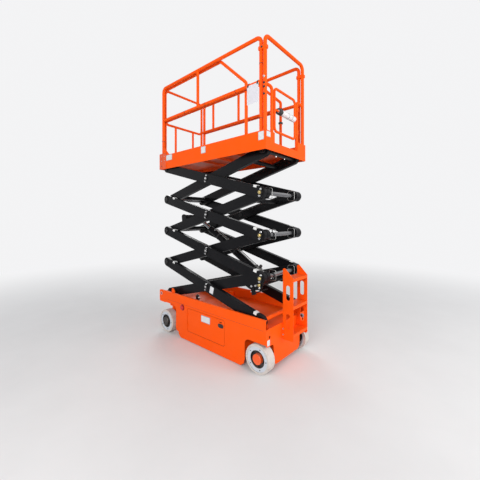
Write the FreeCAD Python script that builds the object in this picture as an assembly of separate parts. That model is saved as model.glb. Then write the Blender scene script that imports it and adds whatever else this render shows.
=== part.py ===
import math
import os

import FreeCAD
import Part

# Self-propelled electric scissor lift, four scissor levels, parked with the deck raised a third of the way.
# Millimetres. +X is forward, to the steered end. +Y is the machine's left. The ground is Z = 0.

V = FreeCAD.Vector
down_y = V(0, -1, 0)

running_gap = 0.3

# Chassis. Sizes that end in _back are measured from its front end
chassis_front_reach = 65.6
chassis_width = 830.0
ladder_depth = 133.0
ladder_clear = 5.0
plate = 6.0
rail_top = 570.0
rail_bottom = 460.0
rail_step = 3.0
rail_flange = 14.0
tray_top = 442.0
skirt_bottom = 78.0
bay_floor = 105.0
core_width = 490.0
core_bottom = 66.0
core_front_back = 395.0
nose_width = 240.0
nose_bottom = 150.0
rear_plate_top = 470.0
rear_plate_bottom = 66.0
rear_plate_low_width = 540.0
tie_hole_radius = 16.0
tie_hole_inset = 70.0
tie_hole_height = 385.0
lug_hole_back = 45.0
lug_hole_height = 520.0
lug_length = 150.0
front_lug_back = 330.0
front_lug_length = 66.0
front_lug_height = 54.0
pack_margin = 24.0
battery_height = 234.0
pump_length = 460.0
pump_height = 189.0

# Wheels
wheel_radius = 152.5
tyre_width = 100.0
tyre_proud = 8.0
tyre_shoulder = 5.0
rim_radius = 128.0
hub_radius = 88.0
cap_radius = 54.0
rear_wheel_at = 105.0
front_wheel_back = 173.0
kingpin_inset = 130.0
kingpin_radius = 14.0
steering_tube_radius = 28.0
spindle_radius = 25.0
spindle_reach = 78.0
axle_hanger_half = 60.0
steering_low = 101.0
steering_high = 345.0
rear_arch_front = 279.0
rear_arch_top = 318.0
front_arch_back = 387.0
front_arch_top = 410.0
arch_corner = 60.0

# Scissor stack
arm_pitch = 1723.4
level_rise = 445.0
level_count = 4
arm_height = 120.0
arm_thickness = 50.0
arm_inset = 35.0
arm_gap = 8.0
pivot_at = 96.0
pivot_height = 530.0
shaft_radius = 22.0
shaft_head_radius = 30.0
shaft_head = 8.0
roller_radius = 25.0
roller_width = 36.0
tie_tube_radius = 25.0
tie_tube_from_end = 250.0
front_tie_from_end = 120.0
steepest_arm = 50.0
lowest_arm = 4.2
track_margin = 22.0

# Lift cylinder
base_pin_along = 209.3
base_pin_below = 70.4
eye_from_front_pin = 339.1
eye_above = 64.6
eye_tube_ahead = 90.0
barrel_radius = 42.0
barrel_bore = 32.0
barrel_length = 1135.0
rod_radius = 25.0
rod_length = 1100.0
eye_radius = 32.0
eye_width = 40.0
lug_side_gap = 5.0
lug_thick = 12.0
base_pin_radius = 15.0
brace_pin_along = 100.0
brace_pin_below = 74.0
brace_pin_radius = 19.0
valve_rod_below = 155.0
valve_rod_radius = 6.5

# Deck and guard rails, with the rails' heights above the deck floor. Sizes that end in _back are
# measured from the deck's front end
deck_front_reach = 55.6
deck_track_back = 19.0
deck_above_pin = 66.0
floor_thick = 6.0
toe_below = 87.0
toe_above = 108.0
front_board_above = 138.0
front_board_clear = 5.6
side_board_back = 45.0
wing_length = 148.0
wing_thick = 4.0
rail_radius = 20.0
rail_height = 1078.0
mid_rail_height = 618.0
board_gap = 0.2
inner_rail_inset = 70.0
rail_bend = 60.0
rear_post_at = 76.0
front_post_back = 49.0
brace_post_at = 312.0
brace_bend_height = 698.0
brace_top_at = 705.0
side_upright_at = 1070.0
right_upright_back = 265.0
front_rail_back = 29.0
front_stub_inset = 250.0
front_frame_low = 588.0
gusset_length = 166.0
gusset_height = 162.0
gusset_lap = 60.0
bearer_places = (240.0, 560.0, 880.0, 1180.0)
bearer_width = 30.0

# Gate: near sizes are from the left side, far ones from the right side, heights above the deck floor
jamb_near = 145.0
jamb_far = 175.0
gate_near = 193.0
gate_far = 211.0
gate_bottom = 140.0
gate_top = 596.0
gate_bar_radius = 14.0
gate_bend = 45.0
gate_mid_bar = 370.0
hinge_heights = (208.0, 478.0)
sleeve_far_end = 20.0
sleeve_near_end = 76.0
sleeve_radius = 32.0

# Side doors and pothole guards
door_rear = 576.0
door_front_back = 630.0
door_bottom = 130.0
door_top = 430.0
door_gap = 5.0
door_corner = 30.0
door_thick = 4.0
door_hinges = (180.0, 320.0)
door_hinge_out = 4.0
door_knuckle_radius = 3.7
latch_from_edge = 65.0
latch_low = 327.0
latch_high = 379.0
door_pin_radius = 1.8
guard_rear = 290.0
guard_front_back = 445.0
guard_bottom = 8.0
guard_thick = 6.0
guard_hinge = skirt_bottom - running_gap - guard_thick / 2

# Worked out from the sizes above: the lowered arms set how long the chassis and the deck are
chassis_length = pivot_at + arm_pitch + chassis_front_reach
deck_length = pivot_at + arm_pitch + deck_front_reach
core_front = chassis_length - core_front_back
front_lug_at = chassis_length - front_lug_back
front_wheel_at = chassis_length - front_wheel_back
front_arch_rear = chassis_length - front_arch_back
door_front = chassis_length - door_front_back
guard_front = chassis_length - guard_front_back
side_board_end = deck_length - side_board_back
wing_rear = deck_length - wing_length
front_post_at = deck_length - front_post_back
right_upright_at = deck_length - right_upright_back
front_rail_at = deck_length - front_rail_back
gusset_rear = front_post_at - gusset_length
front_board_at = (pivot_at + arm_pitch * math.cos(math.radians(lowest_arm)) + arm_height / 2
                  + front_board_clear)
rear_x = -(chassis_length - ladder_depth) / 2
half_width = chassis_width / 2
rest_angle = math.asin(level_rise / arm_pitch)
arm_run = arm_pitch * math.cos(rest_angle)
outer_face = half_width - arm_inset
inner_face = outer_face - arm_thickness - arm_gap
rear_pin_x = rear_x + pivot_at
front_pin_x = rear_pin_x + arm_run
floor_bottom = pivot_height + level_count * level_rise + deck_above_pin
floor_top = floor_bottom + floor_thick
toe_bottom = floor_top - toe_below
toe_top = floor_top + toe_above
rail_inset = plate + board_gap + rail_radius
rear_rail_at = rail_inset
track_rear = pivot_at + arm_pitch * math.cos(math.radians(steepest_arm)) - roller_radius - track_margin
track_front = chassis_length - track_margin - 1


def at(forward):
    return rear_x + forward


def level_z(level):
    return pivot_height + level * level_rise


def box(x0, x1, y0, y1, z0, z1):
    return Part.makeBox(x1 - x0, y1 - y0, z1 - z0, V(x0, y0, z0))


def rod(start, end, radius):
    return Part.makeCylinder(radius, (end - start).Length, start, end - start)


def mirrored(shape):
    return shape.mirror(V(0, 0, 0), V(0, 1, 0))


def both(shape):
    return Part.makeCompound([shape, mirrored(shape)])


def fused(*shapes):
    whole = shapes[0].fuse(list(shapes[1:]))
    return whole.removeSplitter()


def rounded_wire(corners, closed=True):
    # corners: (point, bend radius), joined by straight runs with tangent arcs
    count = len(corners)
    entries = []
    for i, (point, radius) in enumerate(corners):
        end_point = not closed and i in (0, count - 1)
        if end_point or radius <= 0:
            entries.append((point, None, point))
            continue
        before = (corners[i - 1][0] - point).normalize()
        after = (corners[(i + 1) % count][0] - point).normalize()
        half = before.getAngle(after) / 2
        cut = radius / math.tan(half)
        middle = (before + after).normalize()
        centre_distance = radius / math.sin(half)
        entries.append((point + before * cut, point + middle * (centre_distance - radius), point + after * cut))
    edges = []
    for i, (start, crown, end) in enumerate(entries):
        if crown is not None:
            edges.append(Part.Arc(start, crown, end).toShape())
        if i == count - 1 and not closed:
            break
        following = entries[(i + 1) % count][0]
        if (following - end).Length > 1e-6:
            edges.append(Part.makeLine(end, following))
    return Part.Wire(edges)


def plate_xz(corners, y0, y1):
    # corners: (x, z, bend radius), thickened from y0 to y1
    wire = rounded_wire([(V(x, y0, z), radius) for x, z, radius in corners])
    return Part.Face(wire).extrude(V(0, y1 - y0, 0))


def plate_yz(corners, x0, x1):
    # corners: (y, z, bend radius), thickened from x0 to x1
    wire = rounded_wire([(V(x0, y, z), radius) for y, z, radius in corners])
    return Part.Face(wire).extrude(V(x1 - x0, 0, 0))


def plate_xy(corners, z0, z1):
    # corners: (x, y, bend radius), thickened from z0 to z1
    wire = rounded_wire([(V(x, y, z0), radius) for x, y, radius in corners])
    return Part.Face(wire).extrude(V(0, 0, z1 - z0))


def slot_xz(x, z0, z1, radius, y0, y1):
    return plate_xz([(x - radius, z0, radius * 0.98), (x + radius, z0, radius * 0.98),
                     (x + radius, z1, radius * 0.98), (x - radius, z1, radius * 0.98)], y0, y1)


def bent_tube(corners, radius, closed=False):
    # corners: (point, bend radius) along the middle of a round tube
    path = rounded_wire(corners, closed)
    edge = path.Edges[0]
    start = edge.valueAt(edge.FirstParameter)
    along = edge.tangentAt(edge.FirstParameter)
    section = Part.Wire(Part.makeCircle(radius, start, along))
    return path.makePipeShell([section], True, True)


def tube_ring(x, y0, y1, z0, z1, bend, radius):
    # a closed frame of tube across the machine, made as a lower and an upper half
    middle = (z0 + z1) / 2
    halves = []
    for z in (z0, z1):
        halves.append(bent_tube([(V(x, y0, middle), 0), (V(x, y0, z), bend), (V(x, y1, z), bend),
                                 (V(x, y1, middle), 0)], radius))
    return fused(*halves)


def turned(profile, origin, axis):
    # profile: (distance along the axis, radius), closed and spun about the axis
    points = [V(radius, 0, along) for along, radius in profile]
    solid = Part.Face(Part.makePolygon(points + points[:1])).revolve(V(0, 0, 0), V(0, 0, 1), 360)
    solid.Placement = FreeCAD.Placement(origin, FreeCAD.Rotation(V(0, 0, 1), axis))
    return solid


def save(name, shape):
    os.makedirs("parts", exist_ok=True)
    shape.exportStep(f"parts/{name}.step")
    return shape


def chassis_core():
    core_half = core_width / 2
    nose_half = nose_width / 2
    body = plate_xz([(at(plate), core_bottom, 20), (at(core_front), core_bottom, 60),
                     (at(core_front), tray_top - plate, 0), (at(plate), tray_top - plate, 0)],
                    -core_half, core_half)
    nose = plate_xz([(at(core_front - 10), nose_bottom, 0), (at(chassis_length - 30), nose_bottom, 50),
                     (at(chassis_length - 15), tray_top - plate, 0), (at(core_front - 10), tray_top - plate, 0)],
                    -nose_half, nose_half)
    save("chassis_core", fused(body, nose))


def tray():
    inner = half_width - rail_step - plate
    floor = box(at(plate), at(chassis_length - plate), -inner, inner, tray_top - plate, tray_top)
    front = plate_yz([(-inner, front_arch_top, 20), (inner, front_arch_top, 20), (inner, rail_top - 40, 0),
                      (-inner, rail_top - 40, 0)], at(chassis_length - plate), at(chassis_length))
    save("tray_floor", fused(floor, front))


def side_rail():
    outer = half_width
    web = plate_xz([(at(0), rail_bottom, 0), (at(chassis_length), rail_bottom, 0),
                    (at(chassis_length), rail_top, 25), (at(0), rail_top, 0)], outer - plate, outer)
    flange = box(at(0), at(chassis_length - 30), outer - plate - rail_flange, outer - plate / 2,
                 rail_top - plate, rail_top)
    lug_rear, front = at(chassis_length - lug_length), at(chassis_length)
    lug = plate_xz([(lug_rear, front_arch_top - 4, 15), (front, front_arch_top - 4, 25),
                    (front, rail_top - 30, 0), (lug_rear, rail_top - 30, 0)], outer - plate, outer)
    hole_x = front - lug_hole_back
    hole = rod(V(hole_x, outer - 30, lug_hole_height), V(hole_x, outer + 10, lug_hole_height), tie_hole_radius)
    rail = fused(web, flange, lug).cut(hole)
    save("side_rail_left", rail)
    save("side_rail_right", mirrored(rail))


def skirt():
    outer = half_width - rail_step
    panel = plate_xz([(at(0), rear_arch_top, 0), (at(rear_arch_front), rear_arch_top, arch_corner),
                      (at(rear_arch_front), skirt_bottom, 12), (at(front_arch_rear), skirt_bottom, 40),
                      (at(front_arch_rear), front_arch_top, arch_corner + 10),
                      (at(chassis_length - lug_length), front_arch_top, 0),
                      (at(chassis_length - lug_length), rail_bottom, 0),
                      (at(0), rail_bottom, 0)], outer - plate, outer)
    opening = plate_xz([(at(door_rear), door_bottom, door_corner), (at(door_front), door_bottom, door_corner),
                        (at(door_front), door_top, door_corner), (at(door_rear), door_top, door_corner)],
                       outer - plate - 1, outer + 1)
    core_half = core_width / 2
    inner = outer - plate
    floor = box(at(rear_arch_front + 8), at(core_front), core_half, inner, bay_floor, bay_floor + plate)
    rear_wall = box(at(rear_arch_front + 8), at(rear_arch_front + 8 + plate), core_half, inner,
                    bay_floor + plate, tray_top - plate)
    front_wall = box(at(core_front - plate), at(core_front), core_half, inner,
                     bay_floor + plate, tray_top - plate)
    pieces = [panel.cut(opening), floor, rear_wall, front_wall]
    x, y = at(door_front) - door_gap / 2, outer + door_hinge_out
    for z in door_hinges:
        pieces.append(rod(V(x, y, z), V(x, y, z + 60), door_pin_radius))
        for low in (z, z + 45):
            pieces.append(fused(rod(V(x, y, low), V(x, y, low + 15), door_knuckle_radius),
                                box(x, x + 22, outer, outer + 2, low, low + 15)))
    side = fused(*pieces)
    save("side_skirt_left", side)
    save("side_skirt_right", mirrored(side))


def rear_plate():
    inner = half_width - rail_step - plate
    low = rear_plate_low_width / 2
    sheet = plate_yz([(-inner, rear_arch_top - 25, 20), (-low, rear_arch_top - 25, 40),
                      (-low, rear_plate_bottom, 60), (low, rear_plate_bottom, 60),
                      (low, rear_arch_top - 25, 40), (inner, rear_arch_top - 25, 20),
                      (inner, rear_plate_top, 0), (-inner, rear_plate_top, 0)], at(0), at(plate))
    for y in (tie_hole_inset - half_width, half_width - tie_hole_inset):
        sheet = sheet.cut(rod(V(at(-10), y, tie_hole_height), V(at(20), y, tie_hole_height), tie_hole_radius))
    save("rear_plate", sheet)


ladder_left = 105.0
ladder_right = -210.0
ladder_bottom = 290.0
ladder_peak = 1056.0
ladder_rear_top = 955.0
tread_heights = (363.0, 660.0, 953.0)
tread_lip = 32.0
slot_at = 68.0
slot_height = 160.0
slot_radius = 24.0
slot_bottoms = (412.0, 716.0)


def ladder():
    pieces = []
    front = at(-ladder_clear)
    rear = at(-ladder_depth)
    for y0, y1 in ((ladder_left - plate, ladder_left), (ladder_right, ladder_right + plate)):
        side = plate_xz([(rear, ladder_bottom, 25), (front, ladder_bottom, 0), (front, ladder_peak, 16),
                         (front - 28, ladder_peak, 16), (rear, ladder_rear_top, 12)], y0, y1)
        for low in slot_bottoms:
            side = side.cut(slot_xz(at(-slot_at), low, low + slot_height, slot_radius, y0 - 1, y1 + 1))
        pieces.append(side)
        pieces.append(box(front - 6, at(0), y0 - 14, y1 + 14, ladder_bottom + 12, rear_plate_top - 12))
    for top in tread_heights:
        pieces.append(box(rear, front, ladder_right + plate, ladder_left - plate, top - 4, top))
        pieces.append(box(rear, rear + 4, ladder_right + plate, ladder_left - plate, top - tread_lip, top - 4))
    save("ladder", fused(*pieces))


def front_axle():
    x = at(front_wheel_at)
    kingpin_y = half_width - kingpin_inset
    nose_half = nose_width / 2
    pieces = []
    # low z, high z, half width along the machine, reach past the kingpin
    for z0, z1, half, reach in ((steering_low - 14, steering_low, 30, 30),
                                (steering_high, steering_high + 20, axle_hanger_half, 46)):
        pieces.append(plate_xy([(x - half, -kingpin_y - reach, half * 0.6), (x + half, -kingpin_y - reach, half * 0.6),
                                (x + half, kingpin_y + reach, half * 0.6), (x - half, kingpin_y + reach, half * 0.6)],
                               z0, z1))
    for side in (-1, 1):
        pieces.append(rod(V(x, side * kingpin_y, steering_low - 14), V(x, side * kingpin_y, steering_high + 26),
                          kingpin_radius))
        pieces.append(box(x - axle_hanger_half, x + axle_hanger_half,
                          *sorted((side * nose_half, side * (nose_half + 12))), steering_low, tray_top - plate))
    axle = fused(*pieces)
    room = 2 * axle_hanger_half
    save("front_axle", axle.cut(box(x - room, x + room, -nose_half, nose_half, nose_bottom, tray_top)))


def kingpin_fork(name, side):
    x = at(front_wheel_at)
    y = half_width - kingpin_inset
    tube = rod(V(x, y, steering_low + running_gap), V(x, y, steering_high - running_gap), steering_tube_radius)
    flange_y = half_width + tyre_proud - tyre_width
    drive = rod(V(x, y + 10, wheel_radius), V(x, flange_y + 20, wheel_radius), 46)
    spindle = rod(V(x, flange_y + 19, wheel_radius), V(x, flange_y + spindle_reach, wheel_radius),
                  spindle_radius)
    web = box(x - 40, x + 40, y + 8, flange_y - 4, 112, 290)
    bore = rod(V(x, y, 50), V(x, y, 400), kingpin_radius + running_gap)
    shape = fused(tube, web, drive, spindle).cut(bore)
    save(name, shape if side > 0 else mirrored(shape))


def rear_spindles():
    x = at(rear_wheel_at)
    inner = half_width + tyre_proud - tyre_width
    stub = rod(V(x, core_width / 2, wheel_radius), V(x, inner + spindle_reach, wheel_radius), spindle_radius)
    flange = rod(V(x, core_width / 2, wheel_radius), V(x, core_width / 2 + 30, wheel_radius), 60)
    save("rear_spindles", both(fused(stub, flange)))


def wheel(suffix, forward, side):
    origin = V(at(forward), side * (half_width + tyre_proud), wheel_radius)
    inward = V(0, -side, 0)
    bore = spindle_radius + running_gap
    seat = rim_radius + running_gap
    tyre = turned([(0, seat), (0, wheel_radius - tyre_shoulder), (tyre_shoulder, wheel_radius),
                   (tyre_width, wheel_radius), (tyre_width, seat)], origin, inward)
    rim = turned([(6, rim_radius), (6, hub_radius), (30, hub_radius), (30, cap_radius),
                  (-3, cap_radius), (-8, cap_radius - 5), (-8, 0.0), (20, 0.0), (20, bore), (74, bore),
                  (74, hub_radius - 22), (60, hub_radius - 22), (60, rim_radius - 12),
                  (tyre_width - 6, rim_radius - 12), (tyre_width - 6, rim_radius)], origin, inward)
    save("tyre_" + suffix, tyre)
    save("rim_" + suffix, rim)


def side_door(name, side):
    outer = half_width - rail_step
    gap = door_gap
    panel = plate_xz([(at(door_rear + gap), door_bottom + gap, door_corner - gap),
                      (at(door_front - gap), door_bottom + gap, door_corner - gap),
                      (at(door_front - gap), door_top - gap, door_corner - gap),
                      (at(door_rear + gap), door_top - gap, door_corner - gap)],
                     outer - door_thick - 1, outer - 1)
    latch_x = at(door_rear + latch_from_edge)
    recess = slot_xz(latch_x, latch_low, latch_high, 26, outer - 3, outer + 1)
    slot = box(latch_x - 20, latch_x + 20, outer - 10, outer + 5, latch_high + 9, latch_high + 19)
    panel = panel.cut(recess).cut(slot)
    x, y = at(door_front) - door_gap / 2, outer + door_hinge_out
    for z in door_hinges:
        low, high = z + 15 + running_gap, z + 45 - running_gap
        leaf = box(x - 22, x, outer - 2, outer + 2, low, high)
        panel = fused(panel, leaf, rod(V(x, y, low), V(x, y, high), door_knuckle_radius))
        panel = panel.cut(rod(V(x, y, low - 1), V(x, y, high + 1), door_pin_radius + running_gap))
    save(name, panel if side > 0 else mirrored(panel))


def pothole_guard(name, side):
    outer = half_width - rail_step - 1
    blade = plate_xz([(at(guard_rear), guard_hinge, 0), (at(guard_rear), guard_bottom + 40, 0),
                      (at(guard_rear + 45), guard_bottom, 0), (at(guard_front - 45), guard_bottom, 0),
                      (at(guard_front), guard_bottom + 40, 0), (at(guard_front), guard_hinge, 0)],
                     outer - guard_thick, outer)
    y = outer - guard_thick / 2
    rolled_edge = rod(V(at(guard_rear), y, guard_hinge), V(at(guard_front), y, guard_hinge), guard_thick / 2)
    blade = fused(blade, rolled_edge)
    save(name, blade if side > 0 else mirrored(blade))


def power_packs():
    inner = core_width / 2 + 8
    outer = half_width - rail_step - plate - 12
    low = bay_floor + plate
    rear = door_rear + pack_margin
    battery = box(at(rear), at(door_front - pack_margin), inner, outer, low, low + battery_height)
    pump = box(at(rear + pack_margin), at(rear + pack_margin + pump_length), -outer, -inner, low, low + pump_height)
    save("battery_box", battery)
    save("hydraulic_unit", pump)


def arm_tracks():
    bar = box(at(track_rear), at(track_front), outer_face - arm_thickness, outer_face, tray_top,
              pivot_height - roller_radius - 0.2)
    # rounded lug that stands between the arms and the rail, higher than the rail
    rear, front = at(front_lug_at), at(front_lug_at + front_lug_length)
    top = rail_top + front_lug_height
    lug_y = half_width - plate - rail_flange - 1
    lug = plate_xz([(rear, tray_top, 0), (front, tray_top, 0), (front, top, 14), (rear, top, 48)], lug_y - 8, lug_y)
    save("arm_tracks", Part.makeCompound([bar, mirrored(bar), lug, mirrored(lug)]))


def pivot_lugs():
    shapes = []
    # face nearest the middle, thickness
    for y0, thick in ((inner_face - 14, 14.0), (outer_face + 7, 8.0)):
        lug = plate_xz([(rear_pin_x - 46, tray_top, 0), (rear_pin_x + 46, tray_top, 0),
                        (rear_pin_x + 36, pivot_height + 36, 34), (rear_pin_x - 36, pivot_height + 36, 34)],
                       y0, y0 + thick)
        shapes += [lug, mirrored(lug)]
    hole_end = half_width - plate - 2
    shaft = rod(V(rear_pin_x, -hole_end, pivot_height), V(rear_pin_x, hole_end, pivot_height), shaft_radius)
    save("pivot_mount", fused(shaft, *shapes))


def flat_arm(y0, y1):
    # one arm lying level, from its rear pin at the origin to its front pin
    half = arm_height / 2
    curve = half * 0.999
    arm = plate_xz([(-half, -half, curve), (arm_pitch + half, -half, curve),
                    (arm_pitch + half, half, curve), (-half, half, curve)], y0, y1)
    for x in (0, arm_pitch / 2, arm_pitch):
        arm = arm.cut(rod(V(x, y0 - 1, 0), V(x, y1 + 1, 0), shaft_radius + running_gap))
    return arm


def placed(shape, rear_pin, rising):
    # turn a level arm about its rear pin so that its front end rises or falls to the rest angle
    shape = shape.copy()
    shape.rotate(V(0, 0, 0), down_y, math.degrees(rest_angle) * (1 if rising else -1))
    shape.translate(rear_pin)
    return shape


def pin_with_collars(x, z, y_inner, y_outer):
    # a pin from y_inner out to y_outer with a head outside the outer arm and a spacer between the arms
    pin = rod(V(x, y_inner, z), V(x, y_outer, z), shaft_radius)
    head = rod(V(x, outer_face + running_gap, z), V(x, outer_face + shaft_head, z), shaft_head_radius)
    spacer = rod(V(x, inner_face + running_gap, z), V(x, inner_face + arm_gap - running_gap, z), 36)
    retainer = rod(V(x, inner_face - arm_thickness - 8, z),
                   V(x, inner_face - arm_thickness - running_gap, z), 32)
    return fused(pin, head, spacer, retainer)


def outer_arms(level):
    arm = flat_arm(outer_face - arm_thickness, outer_face)
    rear_pin = V(rear_pin_x, 0, level_z(level - 1))
    save(f"outer_arms_{level}", both(placed(arm, rear_pin, True)))


def arm_pins(level):
    head_end = outer_face + shaft_head
    shapes = []
    centre_x = (rear_pin_x + front_pin_x) / 2
    centre_z = level_z(level - 0.5)
    stub = pin_with_collars(centre_x, centre_z, inner_face - arm_thickness - 8, head_end)
    shapes += [stub, mirrored(stub)]
    ends = [(front_pin_x, level_z(level))]
    if level > 1:
        ends.append((rear_pin_x, level_z(level - 1)))
    for x, z in ends:
        half = pin_with_collars(x, z, 0, head_end)
        shaft = fused(half, mirrored(half))
        if level == level_count and x == front_pin_x:
            roller = rod(V(x, inner_face - roller_width - 8, z), V(x, inner_face - 8, z), roller_radius)
            bar = rod(V(x, -head_end, z), V(x, head_end, z), shaft_radius)
            head = rod(V(x, outer_face + running_gap, z), V(x, head_end, z), shaft_head_radius)
            shaft = fused(bar, roller, mirrored(roller), head, mirrored(head))
        shapes.append(shaft)
    save(f"arm_pins_{level}", Part.makeCompound(shapes))


def tie_tube(x):
    reach = inner_face - arm_thickness
    return rod(V(x, -reach, 0), V(x, reach, 0), tie_tube_radius)


def inner_arms(level):
    y0 = inner_face - arm_thickness
    arm = flat_arm(y0, inner_face)
    front_tie = tie_tube_from_end if level < 3 else front_tie_from_end
    pieces = [arm, mirrored(arm), tie_tube(arm_pitch - front_tie)]
    if level > 1:
        pieces.append(tie_tube(tie_tube_from_end))
    if level == 1:
        pieces += foot_mount(y0)
    if level == 3:
        pieces += eye_mount(y0)
    shape = placed(fused(*pieces), V(rear_pin_x, 0, level_z(level)), False)
    if level == 1:
        x, z = front_pin_x, pivot_height
        reach = outer_face - 7
        axle = rod(V(x, -reach, z), V(x, reach, z), shaft_radius)
        roller = rod(V(x, reach - roller_width, z), V(x, reach, z), roller_radius)
        collar = rod(V(x, inner_face + running_gap, z), V(x, inner_face + arm_gap - running_gap, z), 36)
        save("track_rollers", fused(axle, roller, mirrored(roller), collar, mirrored(collar)))
    save(f"inner_arms_{level}", shape)


def foot_mount(y0):
    # side plates under the arms that carry the cylinder's foot pin and a brace tube behind it,
    # and the release valve's block with its rod to the middle of the machine
    thick = lug_thick
    low = -base_pin_below - 34
    side = plate_xz([(brace_pin_along - 42, -50, 0), (base_pin_along + 110, -50, 0), (base_pin_along + 40, low, 30),
                     (base_pin_along - 20, low - 20, 24), (brace_pin_along - 20, low - 20, 30)], y0, y0 + thick)
    pieces = [side, mirrored(side)]
    # along the arm, below its middle, radius, reach to each side
    for along, below, radius, reach in ((base_pin_along, base_pin_below, base_pin_radius, y0 + 6),
                                        (brace_pin_along, brace_pin_below, brace_pin_radius, y0 + thick + 8)):
        pieces.append(rod(V(along, -reach, -below), V(along, reach, -below), radius))
    block = box(base_pin_along - 26, base_pin_along + 18, y0, y0 + thick + 12, -valve_rod_below - 14, low)
    valve_rod = rod(V(base_pin_along - 4, eye_width / 2 + lug_side_gap, -valve_rod_below),
                    V(base_pin_along - 4, y0 + 2, -valve_rod_below), valve_rod_radius)
    return pieces + [block, valve_rod]


def eye_mount(y0):
    # cross tube beyond the rod's eye, its side plates on the inner arms and the two lugs that hold the eye
    eye_x = arm_pitch - eye_from_front_pin
    tube_x = eye_x + eye_tube_ahead * math.cos(eye_lean)
    tube_z = eye_above + eye_tube_ahead * math.sin(eye_lean)
    side_y = y0 - 6 - lug_thick
    side = plate_xz([(eye_x - 40, -40, 20), (tube_x + 60, -40, 20), (tube_x + 34, tube_z + 34, 30),
                     (tube_x - 34, tube_z + 34, 30)], side_y, side_y + lug_thick)
    spacer = box(eye_x, tube_x + 30, side_y + lug_thick, y0, -30, 30)
    lug_y = eye_width / 2 + lug_side_gap
    lug = plate_xz([(-34, -34, 32), (eye_tube_ahead + 34, -34, 32), (eye_tube_ahead + 34, 34, 32), (-34, 34, 32)],
                   lug_y, lug_y + lug_thick)
    lug.rotate(V(0, 0, 0), down_y, math.degrees(eye_lean))
    lug.translate(V(eye_x, 0, eye_above))
    boss = rod(V(eye_x, lug_y + lug_thick, eye_above), V(eye_x, lug_y + lug_thick + 12, eye_above), 24)
    tube = rod(V(tube_x, -side_y, tube_z), V(tube_x, side_y, tube_z), 30)
    return [side, mirrored(side), spacer, mirrored(spacer), lug, mirrored(lug), boss, mirrored(boss), tube]


def arm_point(level, along, up):
    # a place on an inner arm, from its rear pin
    c, s = math.cos(rest_angle), math.sin(rest_angle)
    return V(rear_pin_x + along * c + up * s, 0, level_z(level) - along * s + up * c)


def lift_cylinder():
    base, eye = base_point, eye_point
    along = (eye - base).normalize()
    half = eye_width / 2
    tube = turned([(44, 0), (44, barrel_radius), (barrel_length - 60, barrel_radius),
                   (barrel_length - 60, barrel_radius + 5), (barrel_length, barrel_radius + 5),
                   (barrel_length, rod_radius + running_gap), (barrel_length - 40, rod_radius + running_gap),
                   (barrel_length - 40, barrel_bore), (62, barrel_bore), (62, 0)], base, along)
    foot = rod(V(base.x, -half, base.z), V(base.x, half, base.z), eye_radius + 4)
    neck = rod(base, base + along * 50, 26)
    hole = rod(V(base.x, -half - 60, base.z), V(base.x, half + 60, base.z), base_pin_radius + running_gap)
    save("lift_barrel", fused(tube, neck, foot).cut(hole))
    rod_start = eye - along * rod_length
    shaft = rod(rod_start, eye - along * 10, rod_radius)
    piston = rod(rod_start, rod_start + along * 40, barrel_bore - running_gap)
    end = rod(V(eye.x, -half, eye.z), V(eye.x, half, eye.z), eye_radius)
    save("lift_rod", fused(shaft, piston, end))


def deck():
    inner = half_width - plate
    floor = box(at(plate), at(deck_length - 15), -inner, inner, floor_bottom, floor_top)
    save("deck_floor", floor)
    side = box(at(0), at(side_board_end), inner, half_width, toe_bottom, toe_top)
    sill = floor_top + 2
    near, far = half_width - jamb_near - 17, jamb_far - half_width + 17
    rear = plate_yz([(-inner, toe_bottom, 0), (inner, toe_bottom, 0), (inner, toe_top, 0), (near, toe_top, 0),
                     (near, sill, 0), (far, sill, 0), (far, toe_top, 0), (-inner, toe_top, 0)], at(0), at(plate))
    save("deck_sides", fused(rear, side, mirrored(side)))
    x, z = rear_pin_x, level_z(level_count)
    lug_y = inner_face + arm_gap + 4
    lug = plate_xz([(x - 40, floor_bottom, 0), (x - 33, z - 33, 32), (x + 33, z - 33, 32), (x + 60, floor_bottom, 0)],
                   lug_y, lug_y + 12)
    pin = rod(V(x, -lug_y - 20, z), V(x, lug_y + 20, z), shaft_radius)
    track = box(at(track_rear), at(deck_length - deck_track_back), inner_face - roller_width - 12, inner_face - 4,
                z + roller_radius + running_gap, floor_bottom)
    reach = inner_face - arm_thickness - 18
    bearers = [fused(pin, lug, mirrored(lug)), track, mirrored(track)]
    for forward in bearer_places:
        bearers.append(box(at(forward), at(forward + bearer_width), -reach, reach,
                           floor_bottom - bearer_width, floor_bottom))
    save("deck_bearers", Part.makeCompound(bearers))


def rail_side(y):
    foot, mid_z, top_z = floor_top, floor_top + mid_rail_height, floor_top + rail_height
    frame = bent_tube([(V(at(rear_post_at), y, foot), 0), (V(at(rear_post_at), y, top_z), rail_bend),
                       (V(at(front_post_at), y, top_z), rail_bend), (V(at(front_post_at), y, foot), 0)],
                      rail_radius)
    mid = rod(V(at(rear_post_at), y, mid_z), V(at(front_post_at), y, mid_z), rail_radius)
    upright = rod(V(at(side_upright_at), y, mid_z), V(at(side_upright_at), y, top_z), rail_radius - 2)
    # corner plate inside the toe board that slopes up to the front post
    gusset = plate_xz([(at(gusset_rear), toe_top - gusset_lap, 0), (at(front_post_at), toe_top - gusset_lap, 0),
                       (at(front_post_at), toe_top + gusset_height, 0), (at(gusset_rear), toe_top, 0)],
                      y + rail_radius - 5, y + rail_radius)
    return fused(frame, mid, upright, gusset)


def deck_rails():
    left = rail_side(half_width - rail_inset)
    save("rail_left", left)
    right = mirrored(left)
    x, y = at(right_upright_at), rail_inset - half_width
    extra = rod(V(x, y, floor_top + mid_rail_height), V(x, y, floor_top + rail_height), rail_radius - 2)
    save("rail_right", fused(right, extra))


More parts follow.
